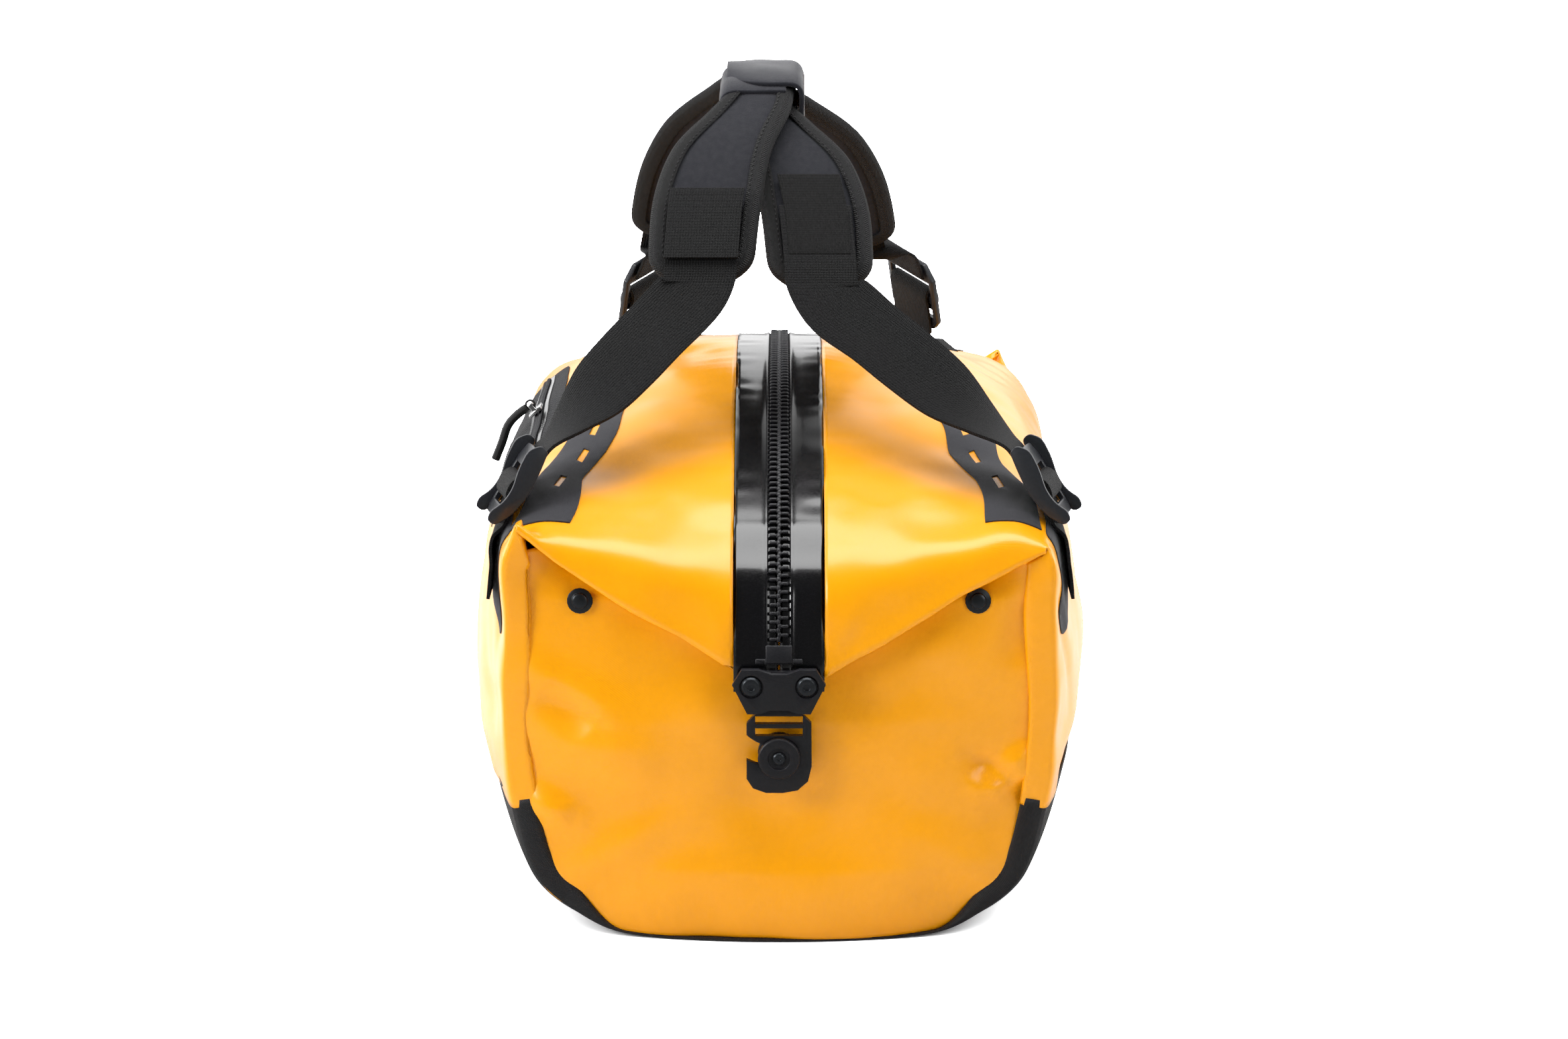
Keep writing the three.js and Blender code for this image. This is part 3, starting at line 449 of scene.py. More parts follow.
# One half of the yellow body: the wall, the top and, at each end, the fold that comes down over the end panel.
def bodyHalf(side):
    ks = np.concatenate([
        np.linspace(3.96, 6.4, 30)[:-1], np.linspace(6.4, 7.6, 34)[:-1], np.linspace(7.6, 9.985, 46),
    ])
    middleRows = rimY * 0.965 * np.sin(np.linspace(-1, 1, 150) * math.pi / 2)
    flapT = np.linspace(0, 1, 26)[1:]
    turnT = np.linspace(0, 1, 9)[1:]
    grid = np.zeros((len(middleRows) + 2 * (len(flapT) + len(turnT)), len(ks), 3))
    extra = len(flapT) + len(turnT)
    for r, y in enumerate(middleRows):
        grid[extra + r] = shellRow(ks, y, side)
    for end in (-1, 1):
        # rows beyond the last cross-section, from there out
        y0 = middleRows[0] if end < 0 else middleRows[-1]
        hand = side if end < 0 else -side
        for c, k in enumerate(ks):
            start = shellRow([k], y0, side)[0]
            tangent = unit(start - shellRow([k], y0 - end * 3, side)[0])
            rim = shellRow([k], end * rimY, side)[0]
            # wall: round the rim and in over the end panel
            below = shellRow([k + 0.05], end * rimY, side)[0] - shellRow([k - 0.05], end * rimY, side)[0]
            inside = unit(np.array([-below[2] * side, 0, below[0] * side]))
            if inside[0] * side > 0:
                inside = -inside
            bandEnd = rim + inside * 13.5
            bandEnd[1] = end * (endFace(bandEnd[0], bandEnd[2]) + 1.4)
            corner = rim + np.array([0, end * 1.0, 0])
            wall = np.vstack([
                bezier(start, start + tangent * 4, corner - tangent * 1.5, corner + inside * 1.6,
                       flapT[:16] / flapT[15]),
                np.linspace(corner + inside * 1.6, bandEnd, 10)[1:],
            ])
            wallTurn = bandEnd + inside * 0.5 * turnT[:, None] - np.array([0, end * 1.6, 0]) * turnT[:, None]
            # top: rolls over the shoulder and falls to the folded edge
            x = min(abs(rim[0]), 147 if hand > 0 else 140)
            edge = foldPoint(hand, x) if end < 0 else foldPoint(hand, x) * np.array([-1, -1, 1])
            edge[0] = side * abs(edge[0])
            reach = np.linalg.norm(edge - start)
            down = unit(np.array([0, end * 0.3, -0.95]))
            lift = min(reach * 0.42, max(3.0, (start[2] - edge[2]) * 0.8))
            top = bezier(start, start + tangent * reach * 0.5, edge - down * lift, edge, flapT)
            angle = turnT[:, None] * math.pi
            fold = edge + np.array([0, -end * 1.5, 0]) + np.hstack([
                np.zeros_like(angle), np.cos(angle) * end * 1.5, -np.sin(angle) * 1.7 + turnT[:, None] * 1.5])
            climb = min(22, max(0, start[2] - edge[2] - 5))
            fold[-2:] += np.array([[0, -end * 2, climb * 0.4], [0, -end * 6, climb]])
            mix = smoothstep(6.86, 7.3, k)
            rows = np.vstack([wall * (1 - mix) + top * mix, wallTurn * (1 - mix) + fold * mix])
            if end < 0:
                grid[:extra, c] = rows[::-1]
            else:
                grid[-extra:, c] = rows
    normals = gridNormals(grid) * (1 if side > 0 else -1)
    if (normals[len(grid) // 2, 10][0] * side) < 0:
        normals = -normals
    grid = creased(grid, normals, creasesOf[side])
    grid = roughened(grid, normals, 62, 3.0, 3 + side)
    grid = roughened(grid, normals, 24, 1.0, 5 + side)
    # short tension wrinkles that run out from the zip tape
    x, y = np.abs(grid[..., 0]), grid[..., 1]
    pull = np.exp(-((x - bag["tape"]) / 26) ** 2) * np.clip((185 - np.abs(y)) / 60, 0, 1)
    ripple = np.sin(y * 0.62 + 1.3 * np.sin(y * 0.11) + side) * (0.6 + 0.4 * np.sin(y * 0.23 + 2))
    grid += normals * (0.3 * pull * ripple)[..., None]
    grid[..., 2] = np.maximum(grid[..., 2], 0.4)
    return sheetOf("body_" + handOf[side], grid, "tarpaulin", turned=side < 0)


creasesOf = {
    -1: [
        ((-60, -200, 236), (-128, -176, 224), 14, 2.2),
        ((-40, -225, 205), (-28, -244, 160), 6, 1.2),
        ((-162, -215, 150), (-150, -200, 205), 9, -3.0),
        ((-158, -222, 128), (-172, -150, 110), 12, -2.4),
        ((-160, -222, 92), (-171, -170, 100), 9, 2.2),
    ],
    1: [
        ((120, -210, 220), (150, -190, 215), 12, 2.0),
        ((40, -238, 185), (27, -246, 158), 5, 1.0),
        ((147, -226, 205), (158, -200, 150), 6, 2.4),
        ((151, -224, 190), (163, -190, 120), 7, -2.6),
        ((158, -222, 92), (172, -160, 110), 10, 3.0),
        ((157, -222, 84), (170, -190, 86), 7, -2.2),
        ((60, 40, 268), (128, 120, 232), 10, 2.4),
        ((66, 90, 262), (140, 150, 214), 9, -2.0),
        ((70, 20, 270), (150, 60, 226), 12, 1.8),
    ],
}

bodies = {side: bodyHalf(side) for side in (-1, 1)}
for side, word in ((-1, "left"), (1, "right")):
    thicken(bodies[side], 0.8)
    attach(bodies[side], "bag")
    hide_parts("side_panel_" + word)
print("body", flush=True)


# ---- end panels ----

dentDepth = 2.3  # deepens every dent in the list
endDents = [
    ((-138, -232, 150), (-92, -240, 128), 9, 2.4), ((-132, -232, 118), (-60, -240, 96), 16, 2.0),
    ((-128, -234, 140), (-100, -238, 118), 12, -2.2), ((-138, -232, 78), (-112, -236, 66), 9, 2.8),
    ((-120, -235, 30), (-52, -240, 72), 11, 1.2), ((140, -232, 92), (112, -237, 82), 8, 3.4),
    ((140, -232, 76), (106, -237, 100), 7, -2.8), ((138, -232, 104), (118, -236, 92), 5, 2.2),
    ((122, -234, 24), (70, -240, 66), 13, 1.0), ((96, -236, 190), (84, -239, 150), 12, 1.4),
    ((126, -233, 150), (134, -231, 190), 10, -1.6), ((-40, -240, 120), (20, -241, 60), 30, -1.2),
    ((60, -240, 130), (110, -237, 60), 26, 1.0),
]


def endPanel(end):
    heights = np.concatenate([[0.8, 1.6, 3], np.linspace(5, 214, 100)])
    rimCurve = splined(outlineAt(rimY), np.linspace(0.6, 7.0, 400) / lastPoint)
    columns = np.sin(np.linspace(-1, 1, 121) * math.pi / 2 * 0.8) / math.sin(math.pi / 2 * 0.8)
    grid = []
    for z in heights:
        reach = np.interp(z, rimCurve[:, 2], rimCurve[:, 0]) - 1.2
        x = reach * columns
        # above the fold the panel follows the top's outline and leans in behind the flap
        top = np.interp(np.abs(x), [0, 80, 128, 146], [204, 209, 215, 213])
        high = np.where(z > 150, 150 + (z - 150) / 64 * (top - 150), z)
        lean = np.clip(high - 188, 0, 40) * 0.5 * np.clip((132 - np.abs(x)) / 22, 0, 1)
        grid.append(np.stack([x, end * (endFace(x, high) - lean), high], -1))
    grid = np.array(grid)
    normals = gridNormals(grid)
    normals *= np.sign(normals[50, 60][1]) * end
    ridges = endDents
    if end > 0:
        ridges = [((-a[0], -a[1], a[2]), (-b[0], -b[1], b[2]), w, h) for a, b, w, h in endDents]
    edge = np.clip((rimHalf + 2 - np.abs(grid[..., 0])) / 20, 0, 1)[..., None]
    moved = creased(grid, normals, [(a, b, w, h * dentDepth) for a, b, w, h in ridges])
    moved = roughened(moved, normals, 74, 4.0, 11 + end)
    moved = roughened(moved, normals, 31, 1.5, 15 + end)
    grid = grid * (1 - edge) + moved * edge
    return sheetOf("end_panel_" + ("near" if end < 0 else "far"), grid, "tarpaulin", turned=end > 0)


for end, word in ((-1, "near"), (1, "far")):
    panel = thicken(endPanel(end), 0.8)
    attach(panel, "bag")
    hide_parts("end_panel_" + word)
print("end panels", flush=True)


# ---- base ----

def basePanel():
    ks = np.linspace(-4.05, 4.05, 121)
    middle = rimY * np.sin(np.linspace(-1, 1, 90) * math.pi / 2 * 0.97) / math.sin(math.pi / 2 * 0.97)
    band = np.linspace(0, 1, 9)[1:]
    rows = [[shellPoint(k, y, 1, 0.9) for k in ks] for y in middle]
    for end in (-1, 1):
        extra = []
        for t in band:
            row = []
            for k in ks:
                rim = shellPoint(k, end * rimY, 1)
                below = shellPoint(k + 0.05, end * rimY, 1) - shellPoint(k - 0.05, end * rimY, 1)
                inside = unit(np.array([-below[2], 0, below[0]]))
                tall = 1.6 + 12.6 * smoothstep(84, 122, abs(rim[0]))
                p = rim + inside * (tall * t - 0.4)
                proud = 2.0 + 1.2 * math.sin(math.pi * min(1, t * 1.1)) - 1.6 * max(0, t - 0.85) / 0.15
                p[1] = end * (endFace(p[0], p[2]) + proud)
                row.append(p)
            extra.append(row)
        rows = extra[::-1] + rows if end < 0 else rows + extra
    grid = np.array(rows)
    grid[..., 2] = np.maximum(grid[..., 2], 0.0)
    return sheetOf("base_panel_cloth", grid, "base", turned=True)


base = thicken(basePanel(), 1.1)
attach(base, "bag")
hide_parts("base_panel")
print("base", flush=True)


# ---- what lies on the cloth finds the cloth's real surface ----

def surfaceTree(things):
    points, faces = [], []
    for thing in things:
        start = len(points)
        points += [v.co.copy() for v in thing.data.vertices]
        faces += [[start + i for i in p.vertices] for p in thing.data.polygons]
    return BVHTree.FromPolygons(points, faces)


clothTree = surfaceTree(list(bodies.values()))


# The point on the cloth under a place, lifted off it along the direction given.
def settled(point, normal, lift):
    direction = Vector(normal)
    start = Vector(point * 0.001) + direction * 0.02
    hit = clothTree.ray_cast(start, -direction, 0.05)[0]
    base = np.array(hit) * 1000 if hit is not None else point
    return base + normal * lift


# A flat shape cut out of cloth, with holes, laid on the bag. place(u, v) gives a point and a normal.
def cutCloth(name, outline, holes, place, look, lift, thickness, step=5.0):
    bm = bmesh.new()
    edges = []
    for loop in [outline] + holes:
        verts = [bm.verts.new((u, v, 0)) for u, v in loop]
        edges += [bm.edges.new((verts[i], verts[(i + 1) % len(verts)])) for i in range(len(verts))]
    bmesh.ops.triangle_fill(bm, use_beauty=True, use_dissolve=False, edges=edges)
    us = [u for u, v in outline]
    vs = [v for u, v in outline]
    for axis, low, high in ((0, min(us), max(us)), (1, min(vs), max(vs))):
        count = int((high - low) / step) + 1
        for i in range(1, count):
            at = [0, 0, 0]
            at[axis] = low + (high - low) * i / count
            way = [0, 0, 0]
            way[axis] = 1
            everything = list(bm.verts) + list(bm.edges) + list(bm.faces)
            bmesh.ops.bisect_plane(bm, geom=everything, dist=1e-5, plane_co=at, plane_no=way)
    layer = bm.loops.layers.uv.new("cloth")
    for face in bm.faces:
        for loop in face.loops:
            loop[layer].uv = (loop.vert.co.x, loop.vert.co.y)
    outward = Vector((0, 0, 0))
    for v in bm.verts:
        p, n = place(v.co.x, v.co.y)
        v.co = Vector(settled(p, n, lift) * 0.001)
        outward += Vector(n)
    bm.normal_update()
    total = sum((f.normal * f.calc_area() for f in bm.faces), Vector())
    if total.dot(outward) < 0:
        bmesh.ops.reverse_faces(bm, faces=list(bm.faces))
    mesh = meshFrom(bm, name)
    thing = finished(name, mesh, look)
    thicken(thing, thickness, 1.0, 0.3)
    return thing


tableY = np.linspace(-226, 226, 114)
tableK = np.linspace(7.0, 10.9, 160)
tableX = np.array([shellRow(tableK, y, 1)[:, 0] for y in tableY])


# The place on the top of the bag over a point of the plan.
def onTop(x, y):
    side = 1 if x > 0 else -1
    i = int(np.clip(np.searchsorted(tableY, y) - 1, 0, len(tableY) - 2))
    f = (y - tableY[i]) / (tableY[i + 1] - tableY[i])
    row = tableX[i] * (1 - f) + tableX[i + 1] * f
    k = np.interp(-abs(x), -row, tableK)
    return shellPoint(k, y, side), shellNormal(k, y, side)


# The place on the side wall: u is how far up the cloth, v is y.
def onWall(u, v, side):
    return shellPoint(u / stationLength, v, side), shellNormal(u / stationLength, v, side)


# ---- daisy strips: die-cut lash strips with slots, the cloth showing through ----

daisy = {
    "halfWidth": 15, "wave": 1.8, "period": 75, "thickness": 1.2,
    "slotLength": 17, "slotWidth": 4.4, "slotPitch": 29.5,
}
daisyPath = np.array([
    [-213, 128], [-167, 122], [-138, 111], [-60, 96], [44, 77], [84, 63], [98, 57], [118, 66], [142, 84],
], float)


def daisyMiddle(y):
    return float(np.interp(y, daisyPath[:, 0], daisyPath[:, 1]))


def daisyStrip(side):
    ys = np.linspace(-212, 142, 130)

    def spread(y, phase):
        return daisy["halfWidth"] + daisy["wave"] * math.sin(y * 2 * math.pi / daisy["period"] + phase * 1.1)

    outline = [(y, daisyMiddle(y) - spread(y, side)) for y in ys]
    outline += [(y, daisyMiddle(y) + spread(y, 2 + side)) for y in ys[::-1]]
    holes = []
    l, w = daisy["slotLength"] / 2, daisy["slotWidth"] / 2
    for y in np.arange(-167, 110, daisy["slotPitch"]):
        lean = (daisyMiddle(y + l) - daisyMiddle(y - l)) / 2
        x = daisyMiddle(y) - 2
        holes.append([
            (y - l, x - lean - w), (y + l - 4, x + lean * 0.6 - w),
            (y + l, x + lean + w), (y - l + 4, x - lean * 0.6 + w),
        ])
    return cutCloth("daisy_strip_cloth_" + handOf[side], outline, holes,
                    lambda u, v: onTop(side * v, u), "felt", 0.35, daisy["thickness"])


def roundedOutline(points, radius, steps=6):
    out = []
    count = len(points)
    for i in range(count):
        a, b, c = (np.array(points[(i + j - 1) % count], float) for j in range(3))
        r = min(radius, np.linalg.norm(a - b) * 0.45, np.linalg.norm(c - b) * 0.45)
        p, q = b + (a - b) / np.linalg.norm(a - b) * r, b + (c - b) / np.linalg.norm(c - b) * r
        for t in np.linspace(0, 1, steps):
            m = p * (1 - t) ** 2 + 2 * b * t * (1 - t) + q * t ** 2
            out.append((float(m[0]), float(m[1])))
    return out


for side, word in ((-1, "left"), (1, "right")):
    strip = daisyStrip(side)
    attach(strip, "bag")
    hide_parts("daisy_strip_" + word)
    # the patch behind the near end of a strap comes to a point lower down the wall
    shape = roundedOutline([
        (292, -214), (292, -166), (262, -164), (244, -178), (228, -212), (238, -222), (258, -221),
    ], 6)
    patch = cutCloth("anchor_patch_cloth_near_" + word, shape, [], lambda u, v: onWall(u, v, side),
                     "felt", 0.35, 1.1)
    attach(patch, "bag")
    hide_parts("anchor_patch_near_" + word)
    shape = roundedOutline([(68, 150), (80, 143), (104, 146), (115, 158), (114, 184), (100, 199), (72, 196)], 5)
    patch = cutCloth("anchor_patch_cloth_far_" + word, shape, [], lambda u, v: onTop(side * u, v),
                     "felt", 0.35, 1.1)
    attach(patch, "bag")
    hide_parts("anchor_patch_far_" + word)
print("lash strips and patches", flush=True)


# ---- zip tape, teeth and their channel ----

zipLine = {"tapeHalf": 24.4, "pitch": 4.6}
hang = [
    (247.4, 141.5), (247.3, 149), (247.0, 156.5), (244.6, 167.5),
    (240.6, 181), (235.6, 193), (228.6, 203.2), (219.5, 211.2),
]


def zipPath(lift):
    near = [(-y, z) for y, z in hang]
    arc = [(y, float(ridge(y)) + 0.8) for y in np.linspace(-208, 208, 60)]
    far = [(y, z) for y, z in hang[::-1]]
    points = np.array([(0, y, z) for y, z in near + arc + far], float)
    line = splined(points, np.linspace(0, 1, 900))
    tangent = unit(np.gradient(line, axis=0))
    normal = np.stack([np.zeros(len(line)), -tangent[:, 2], tangent[:, 1]], -1)
    return line + normal * lift, tangent, normal


def evenly(line, step):
    length = lengthAlong(line)
    at = np.arange(step / 2, length[-1], step)
    return np.array([np.interp(at, length, line[:, i]) for i in range(3)]).T


def zipTape(side):
    line, tangent, normal = zipPath(0.2)
    line, normal = line[::3], normal[::3]
    xs = np.array([0.5, 3, 5.6, 6.2, 6.9, 7.8, 10, 13, 16, 19, 22, zipLine["tapeHalf"]])
    lifts = np.array([0, 0, 0, 0.5, 0.75, 0.25, 0, 0, 0, 0, 0, 0])
    grid = line[:, None, :] + normal[:, None, :] * lifts[None, :, None]
    grid = grid + np.array([1.0, 0, 0]) * (xs * side)[None, :, None]
    away = np.clip((xs - 8) / 12, 0, 1)[None, :]
    y = grid[..., 1]
    inBend = np.exp(-((np.abs(y) - 80) / 130) ** 2)
    ripple = np.sin(y * 0.3 + side + 1.4 * np.sin(y * 0.07)) * (0.5 + 0.5 * np.sin(y * 0.13 + side))
    grid = grid + normal[:, None, :] * (0.26 * away * inBend * ripple)[..., None]
    tape = sheetOf("zip_tape_film_" + handOf[side], grid, "tape", turned=side < 0)
    return thicken(tape, 0.7, -1.0)


# One moulded tooth: a stem that grips the tape and a rounded head that locks between two heads opposite.
def toothMesh():
    bm = bmesh.new()
    for length, width, height, offset in ((4.2, 1.9, 2.1, 3.1), (2.2, 3.0, 1.8, 0.3)):
        block = bmesh.new()
        bmesh.ops.create_cube(block, size=1)
        for v in block.verts:
            v.co = (v.co.x * length + offset, v.co.y * width, v.co.z * height + 0.5)
        bmesh.ops.bevel(block, geom=list(block.edges), offset=0.5, segments=1, profile=0.5,
                        affect="EDGES", material=-1)
        piece = meshFrom(block, "piece")
        bm.from_mesh(piece)
        bpy.data.meshes.remove(piece)
    mesh = meshFrom(bm, "tooth")
    return mesh


# Copies of a small mesh, each placed by a matrix, as one mesh.
def manyOf(name, small, places, look):
    bm = bmesh.new()
    for place in places:
        start = len(bm.verts)
        bm.from_mesh(small)
        bm.verts.ensure_lookup_table()
        bmesh.ops.transform(bm, matrix=place, verts=bm.verts[start:])
    mesh = meshFrom(bm, name)
    bpy.data.meshes.remove(small)
    return finished(name, mesh, look)


def placeAt(point, across, along, up):
    basis = Matrix((Vector(across), Vector(along), Vector(up))).transposed()
    return Matrix.Translation(Vector(point) * 0.001) @ basis.to_4x4() @ Matrix.Scale(0.001, 4)


def zipTeeth(side):
    line, tangent, normal = zipPath(0.9)
    places = []
    for seat in evenly(line, zipLine["pitch"]):
        if abs(seat[1]) > 243.6 and seat[2] < 169:
            continue
        j = int(np.argmin(np.linalg.norm(line - seat, axis=1)))
        shifted = seat + tangent[j] * zipLine["pitch"] * 0.25 * side
        places.append(placeAt(shifted, (side, 0, 0), tangent[j] * side, normal[j]))
    return manyOf("zip_teeth_moulded_" + handOf[side], toothMesh(), places, "nylon")


for side, word in ((-1, "left"), (1, "right")):
    tape = zipTape(side)
    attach(tape, "bag")
    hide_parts("zip_tape_" + word)
    teeth = zipTeeth(side)
    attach(teeth, "bag")
    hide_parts("zip_teeth_" + word)
print("zip", flush=True)


# ---- hard parts keep the frame's own shapes, with their edges softened ----

def softEdged(node, body, look, width=0.4, segments=2, sharp=32):
    bm = bmesh.new()
    bm.from_mesh(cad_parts[node].data)
    bmesh.ops.remove_doubles(bm, verts=list(bm.verts), dist=2e-6)
    bmesh.ops.dissolve_limit(bm, angle_limit=math.radians(1.0), verts=list(bm.verts), edges=list(bm.edges))
    edges = [e for e in bm.edges if len(e.link_faces) == 2 and e.calc_face_angle() > math.radians(sharp)]
    bmesh.ops.bevel(bm, geom=edges, offset=width * 0.001, segments=segments, profile=0.5, affect="EDGES",
                    material=-1, clamp_overlap=True)
    mesh = meshFrom(bm, node + "_finished")
    thing = finished(node + "_finished", mesh, look)
    mesh.set_sharp_from_angle(angle=math.radians(38))
    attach(thing, body)
    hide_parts(node)
    return thing


for end in ("near", "far"):
    softEdged("end_plate_" + end, "bag", "nylon", 0.55)
    softEdged("end_hook_" + end, "hook_" + end, "nylon", 0.55)
    softEdged("hook_stud_" + end, "bag", "nylon", 0.4)
    softEdged("stud_screw_" + end, "bag", "steel", 0.2)
    softEdged("zip_end_stop_" + end, "bag", "nylon", 0.5)
    for word in ("left", "right"):
        softEdged(f"plate_screw_{end}_{word}", "bag", "steel", 0.25)
        softEdged(f"corner_fastener_{end}_{word}", "bag", "steel", 0.35)
        softEdged(f"ladder_lock_{end}_{word}", word + "_strap", "satin", 0.7)
softEdged("zip_slider", "slider", "gloss", 0.7)
softEdged("zip_pull", "pull", "rubber", 0.6)
softEdged("pocket_slider", "pocket_slider_body", "chrome", 0.35)
softEdged("pocket_puller", "puller", "rubber", 0.6)
print("hard parts", flush=True)


# ---- straps: ribbons through frames of centre, way across and half width ----

def cross(a, b):
    return np.array([a[1] * b[2] - a[2] * b[1], a[2] * b[0] - a[0] * b[2], a[0] * b[1] - a[1] * b[0]])


def ribbonOf(name, frames, look, thickness, steps=60):
    centres = np.array([f[0] for f in frames], float)
    edges = np.array([f[0] + f[1] * f[2] for f in frames], float)
    t = np.linspace(0, 1, steps)
    middle = splined(centres, t)
    wide = splined(edges, t) - middle
    grid = middle[:, None, :] + wide[:, None, :] * np.linspace(-1, 1, 9)[None, :, None]
    thing = sheetOf(name, grid, look)
    thicken(thing, thickness, 0.0)
    soften(thing, thickness * 0.32, 2, 60)
    return thing


grip = {"x": -10, "half": 38, "thickness": 9}
stack = grip["thickness"] / 2 + 0.6
padLine = [
    [-124, 34, 338, 22], [-118, 33, 349, 28], [-96, 30, 378, 29], [-72, 22, 403, 26], [-48, 6, 421, 21],
    [-34, 0, 428.6, 18], [0, 0, 429, 18], [34, 0, 428.6, 18], [48, 9, 419, 21], [74, 30, 396, 26],
    [98, 44, 364, 29], [120, 52, 330, 28], [125, 54, 319, 22],
]
padHalfWidths = (24, 28.5, 29.5, 27, 21.5, 18, 18, 18, 21.5, 27, 29.5, 28.5, 24)


def padFrames(side):
    middle = np.array([[grip["x"] + side * away, y, z] for y, away, z, w in padLine], float)
    frames = []
    for i, row in enumerate(padLine):
        t = i / (len(padLine) - 1)
        tangent = unit(splined(middle, [min(1, t + 1e-4)])[0] - splined(middle, [max(0, t - 1e-4)])[0])
        up = unit(cross(np.array([1.0, 0, 0]), tangent))
        frames.append((middle[i] - up * side * stack, np.array([1.0, 0, 0]), row[3], up))
    return frames


# Smooth stations along a pad: centre, up, half width, distance to the nearer end.
def padStations(side, count):
    frames = padFrames(side)
    t = np.linspace(0, 1, count)
    centres = splined(np.array([f[0] for f in frames]), t)
    ups = unit(splined(np.array([f[3] for f in frames]), t))
    widths = splined(np.array([[w, 0, 0] for w in padHalfWidths], float), t)[:, 0]
    reach = lengthAlong(centres)
    toEnd = np.minimum(reach, reach[-1] - reach)
    corner = 17
    f = np.sqrt(np.clip(1 - (1 - np.clip(toEnd / corner, 0, 1)) ** 2, 0, 1))
    return centres, ups, widths - corner * 0.92 * (1 - f), toEnd


pad = {"face": 3.5, "edge": 2.3, "swell": 2.6, "voxel": 0.0042, "pressure": 4.0}


def padCore(side, word):
    centres, ups, widths, toEnd = padStations(side, 110)
    turns = 30
    bm = bmesh.new()
    rings = []
    for i in range(len(centres)):
        ring = []
        for j in range(turns):
            a = 2 * math.pi * j / turns
            across = math.copysign(abs(math.cos(a)) ** 0.6, math.cos(a))
            high = math.copysign(abs(math.sin(a)) ** 0.75, math.sin(a))
            thin = pad["edge"] + (pad["face"] - pad["edge"]) * min(1, (1 - abs(across)) / 0.3)
            p = centres[i] + np.array([1, 0, 0]) * across * (widths[i] - 0.8)
            p += ups[i] * high * thin * min(1, 0.6 + toEnd[i] / 20)
            ring.append(bm.verts.new(p * 0.001))
        rings.append([bm.edges.new((ring[j], ring[(j + 1) % turns])) for j in range(turns)])
    for a, b in zip(rings[:-1], rings[1:]):
        bmesh.ops.bridge_loops(bm, edges=a + b)
    bmesh.ops.holes_fill(bm, edges=rings[0] + rings[-1])
    bmesh.ops.recalc_face_normals(bm, faces=list(bm.faces))
    mesh = meshFrom(bm, "pad_core_" + word)
    thing = finished("shoulder_pad_foam_" + word, mesh, "knit")
    remesh = thing.modifiers.new("even", "REMESH")
    remesh.mode = "VOXEL"
    remesh.voxel_size = pad["voxel"]
    applied(thing)
    before = np.array([v.co for v in thing.data.vertices]) * 1000
    nearest = np.array([int(np.argmin(np.linalg.norm(centres - p, axis=1))) for p in before])
    rim = np.array([
        min(widths[n] - abs(p[0] - centres[n][0]), toEnd[n] + 1) for p, n in zip(before, nearest)
    ])
    held = np.clip(1 - (rim - 3) / 6, 0, 1)
    held = np.maximum(held, np.clip((grip["half"] + 2 - np.abs(before[:, 1])) / 6, 0, 1))
    group = thing.vertex_groups.new(name="held")
    for i, weight in enumerate(held):
        group.add([i], float(weight), "REPLACE")
    cloth = thing.modifiers.new("swell", "CLOTH")
    settings = cloth.settings
    settings.use_pressure = True
    settings.uniform_pressure_force = pad["pressure"]
    settings.effector_weights.gravity = 0
    settings.vertex_group_mass = "held"
    settings.quality = 4
    cloth.collision_settings.use_collision = False
    scene = bpy.context.scene
    for step in range(1, 21):
        scene.frame_set(step)
    applied(thing)
    after = np.array([v.co for v in thing.data.vertices]) * 1000
    move = after - before
    length = np.linalg.norm(move, axis=1, keepdims=True)
    move *= np.minimum(1, pad["swell"] / np.maximum(length, 1e-6)) * (1 - held)[:, None]
    thing.data.vertices.foreach_set("co", ((before + move) * 0.001).ravel())
    scene.frame_set(1)
    thing.data.shade_smooth()
    rounder(thing)
    return thing


def applied(thing):
    graph = bpy.context.evaluated_depsgraph_get()
    mesh = bpy.data.meshes.new_from_object(thing.evaluated_get(graph), depsgraph=graph)
    old = thing.data
    thing.modifiers.clear()
    thing.data = mesh
    if old.users == 0:
        bpy.data.meshes.remove(old)


# The outline of a pad, once round: place, way out, up.
def padOutline(side, inset=0.0):
    centres, ups, widths, toEnd = padStations(side, 150)
    w = widths[:, None] * np.array([1.0, 0, 0])
    line = np.vstack([centres + w, (centres - w)[::-1]])
    up = np.vstack([ups, ups[::-1]])
    loop = np.vstack([line, line[:1]])
    length = lengthAlong(loop)
    at = np.linspace(0, length[-1], 420)
    loopUp = np.vstack([up, up[:1]])
    line = np.array([np.interp(at, length, loop[:, i]) for i in range(3)]).T
    up = unit(np.array([np.interp(at, length, loopUp[:, i]) for i in range(3)]).T)
    for i in range(3):
        inner = (np.roll(line[:-1], 1, 0) + line[:-1] * 2 + np.roll(line[:-1], -1, 0)) / 4
        line = np.vstack([inner, inner[:1]])
    tangent = unit(np.roll(line, -1, 0) - np.roll(line, 1, 0))
    tangent[0] = tangent[-1] = unit(line[1] - line[-2])
    out = unit(np.cross(tangent, up))
    nearest = centres[np.argmin(np.linalg.norm(centres - line[60], axis=1))]
    if np.sum(out[60] * (line[60] - nearest)) < 0:
        out = -out
    return line - out * inset, out, up


def padBinding(side, word):
    line, out, up = padOutline(side)
    section = [(-8.2, 3.9), (-7.6, 4.35), (-5.5, 4.2), (-2.8, 3.8), (-0.6, 2.8), (0.5, 1.2), (0.7, 0)]
    section = section + [(a, -b) for a, b in section[-2::-1]]
    grid = np.array([[p + o * a + u * b for a, b in section] for p, o, u in zip(line, out, up)])
    binding = sheetOf("pad_binding_" + word, grid, "binding")
    thicken(binding, 0.5, 0.0)
    return binding


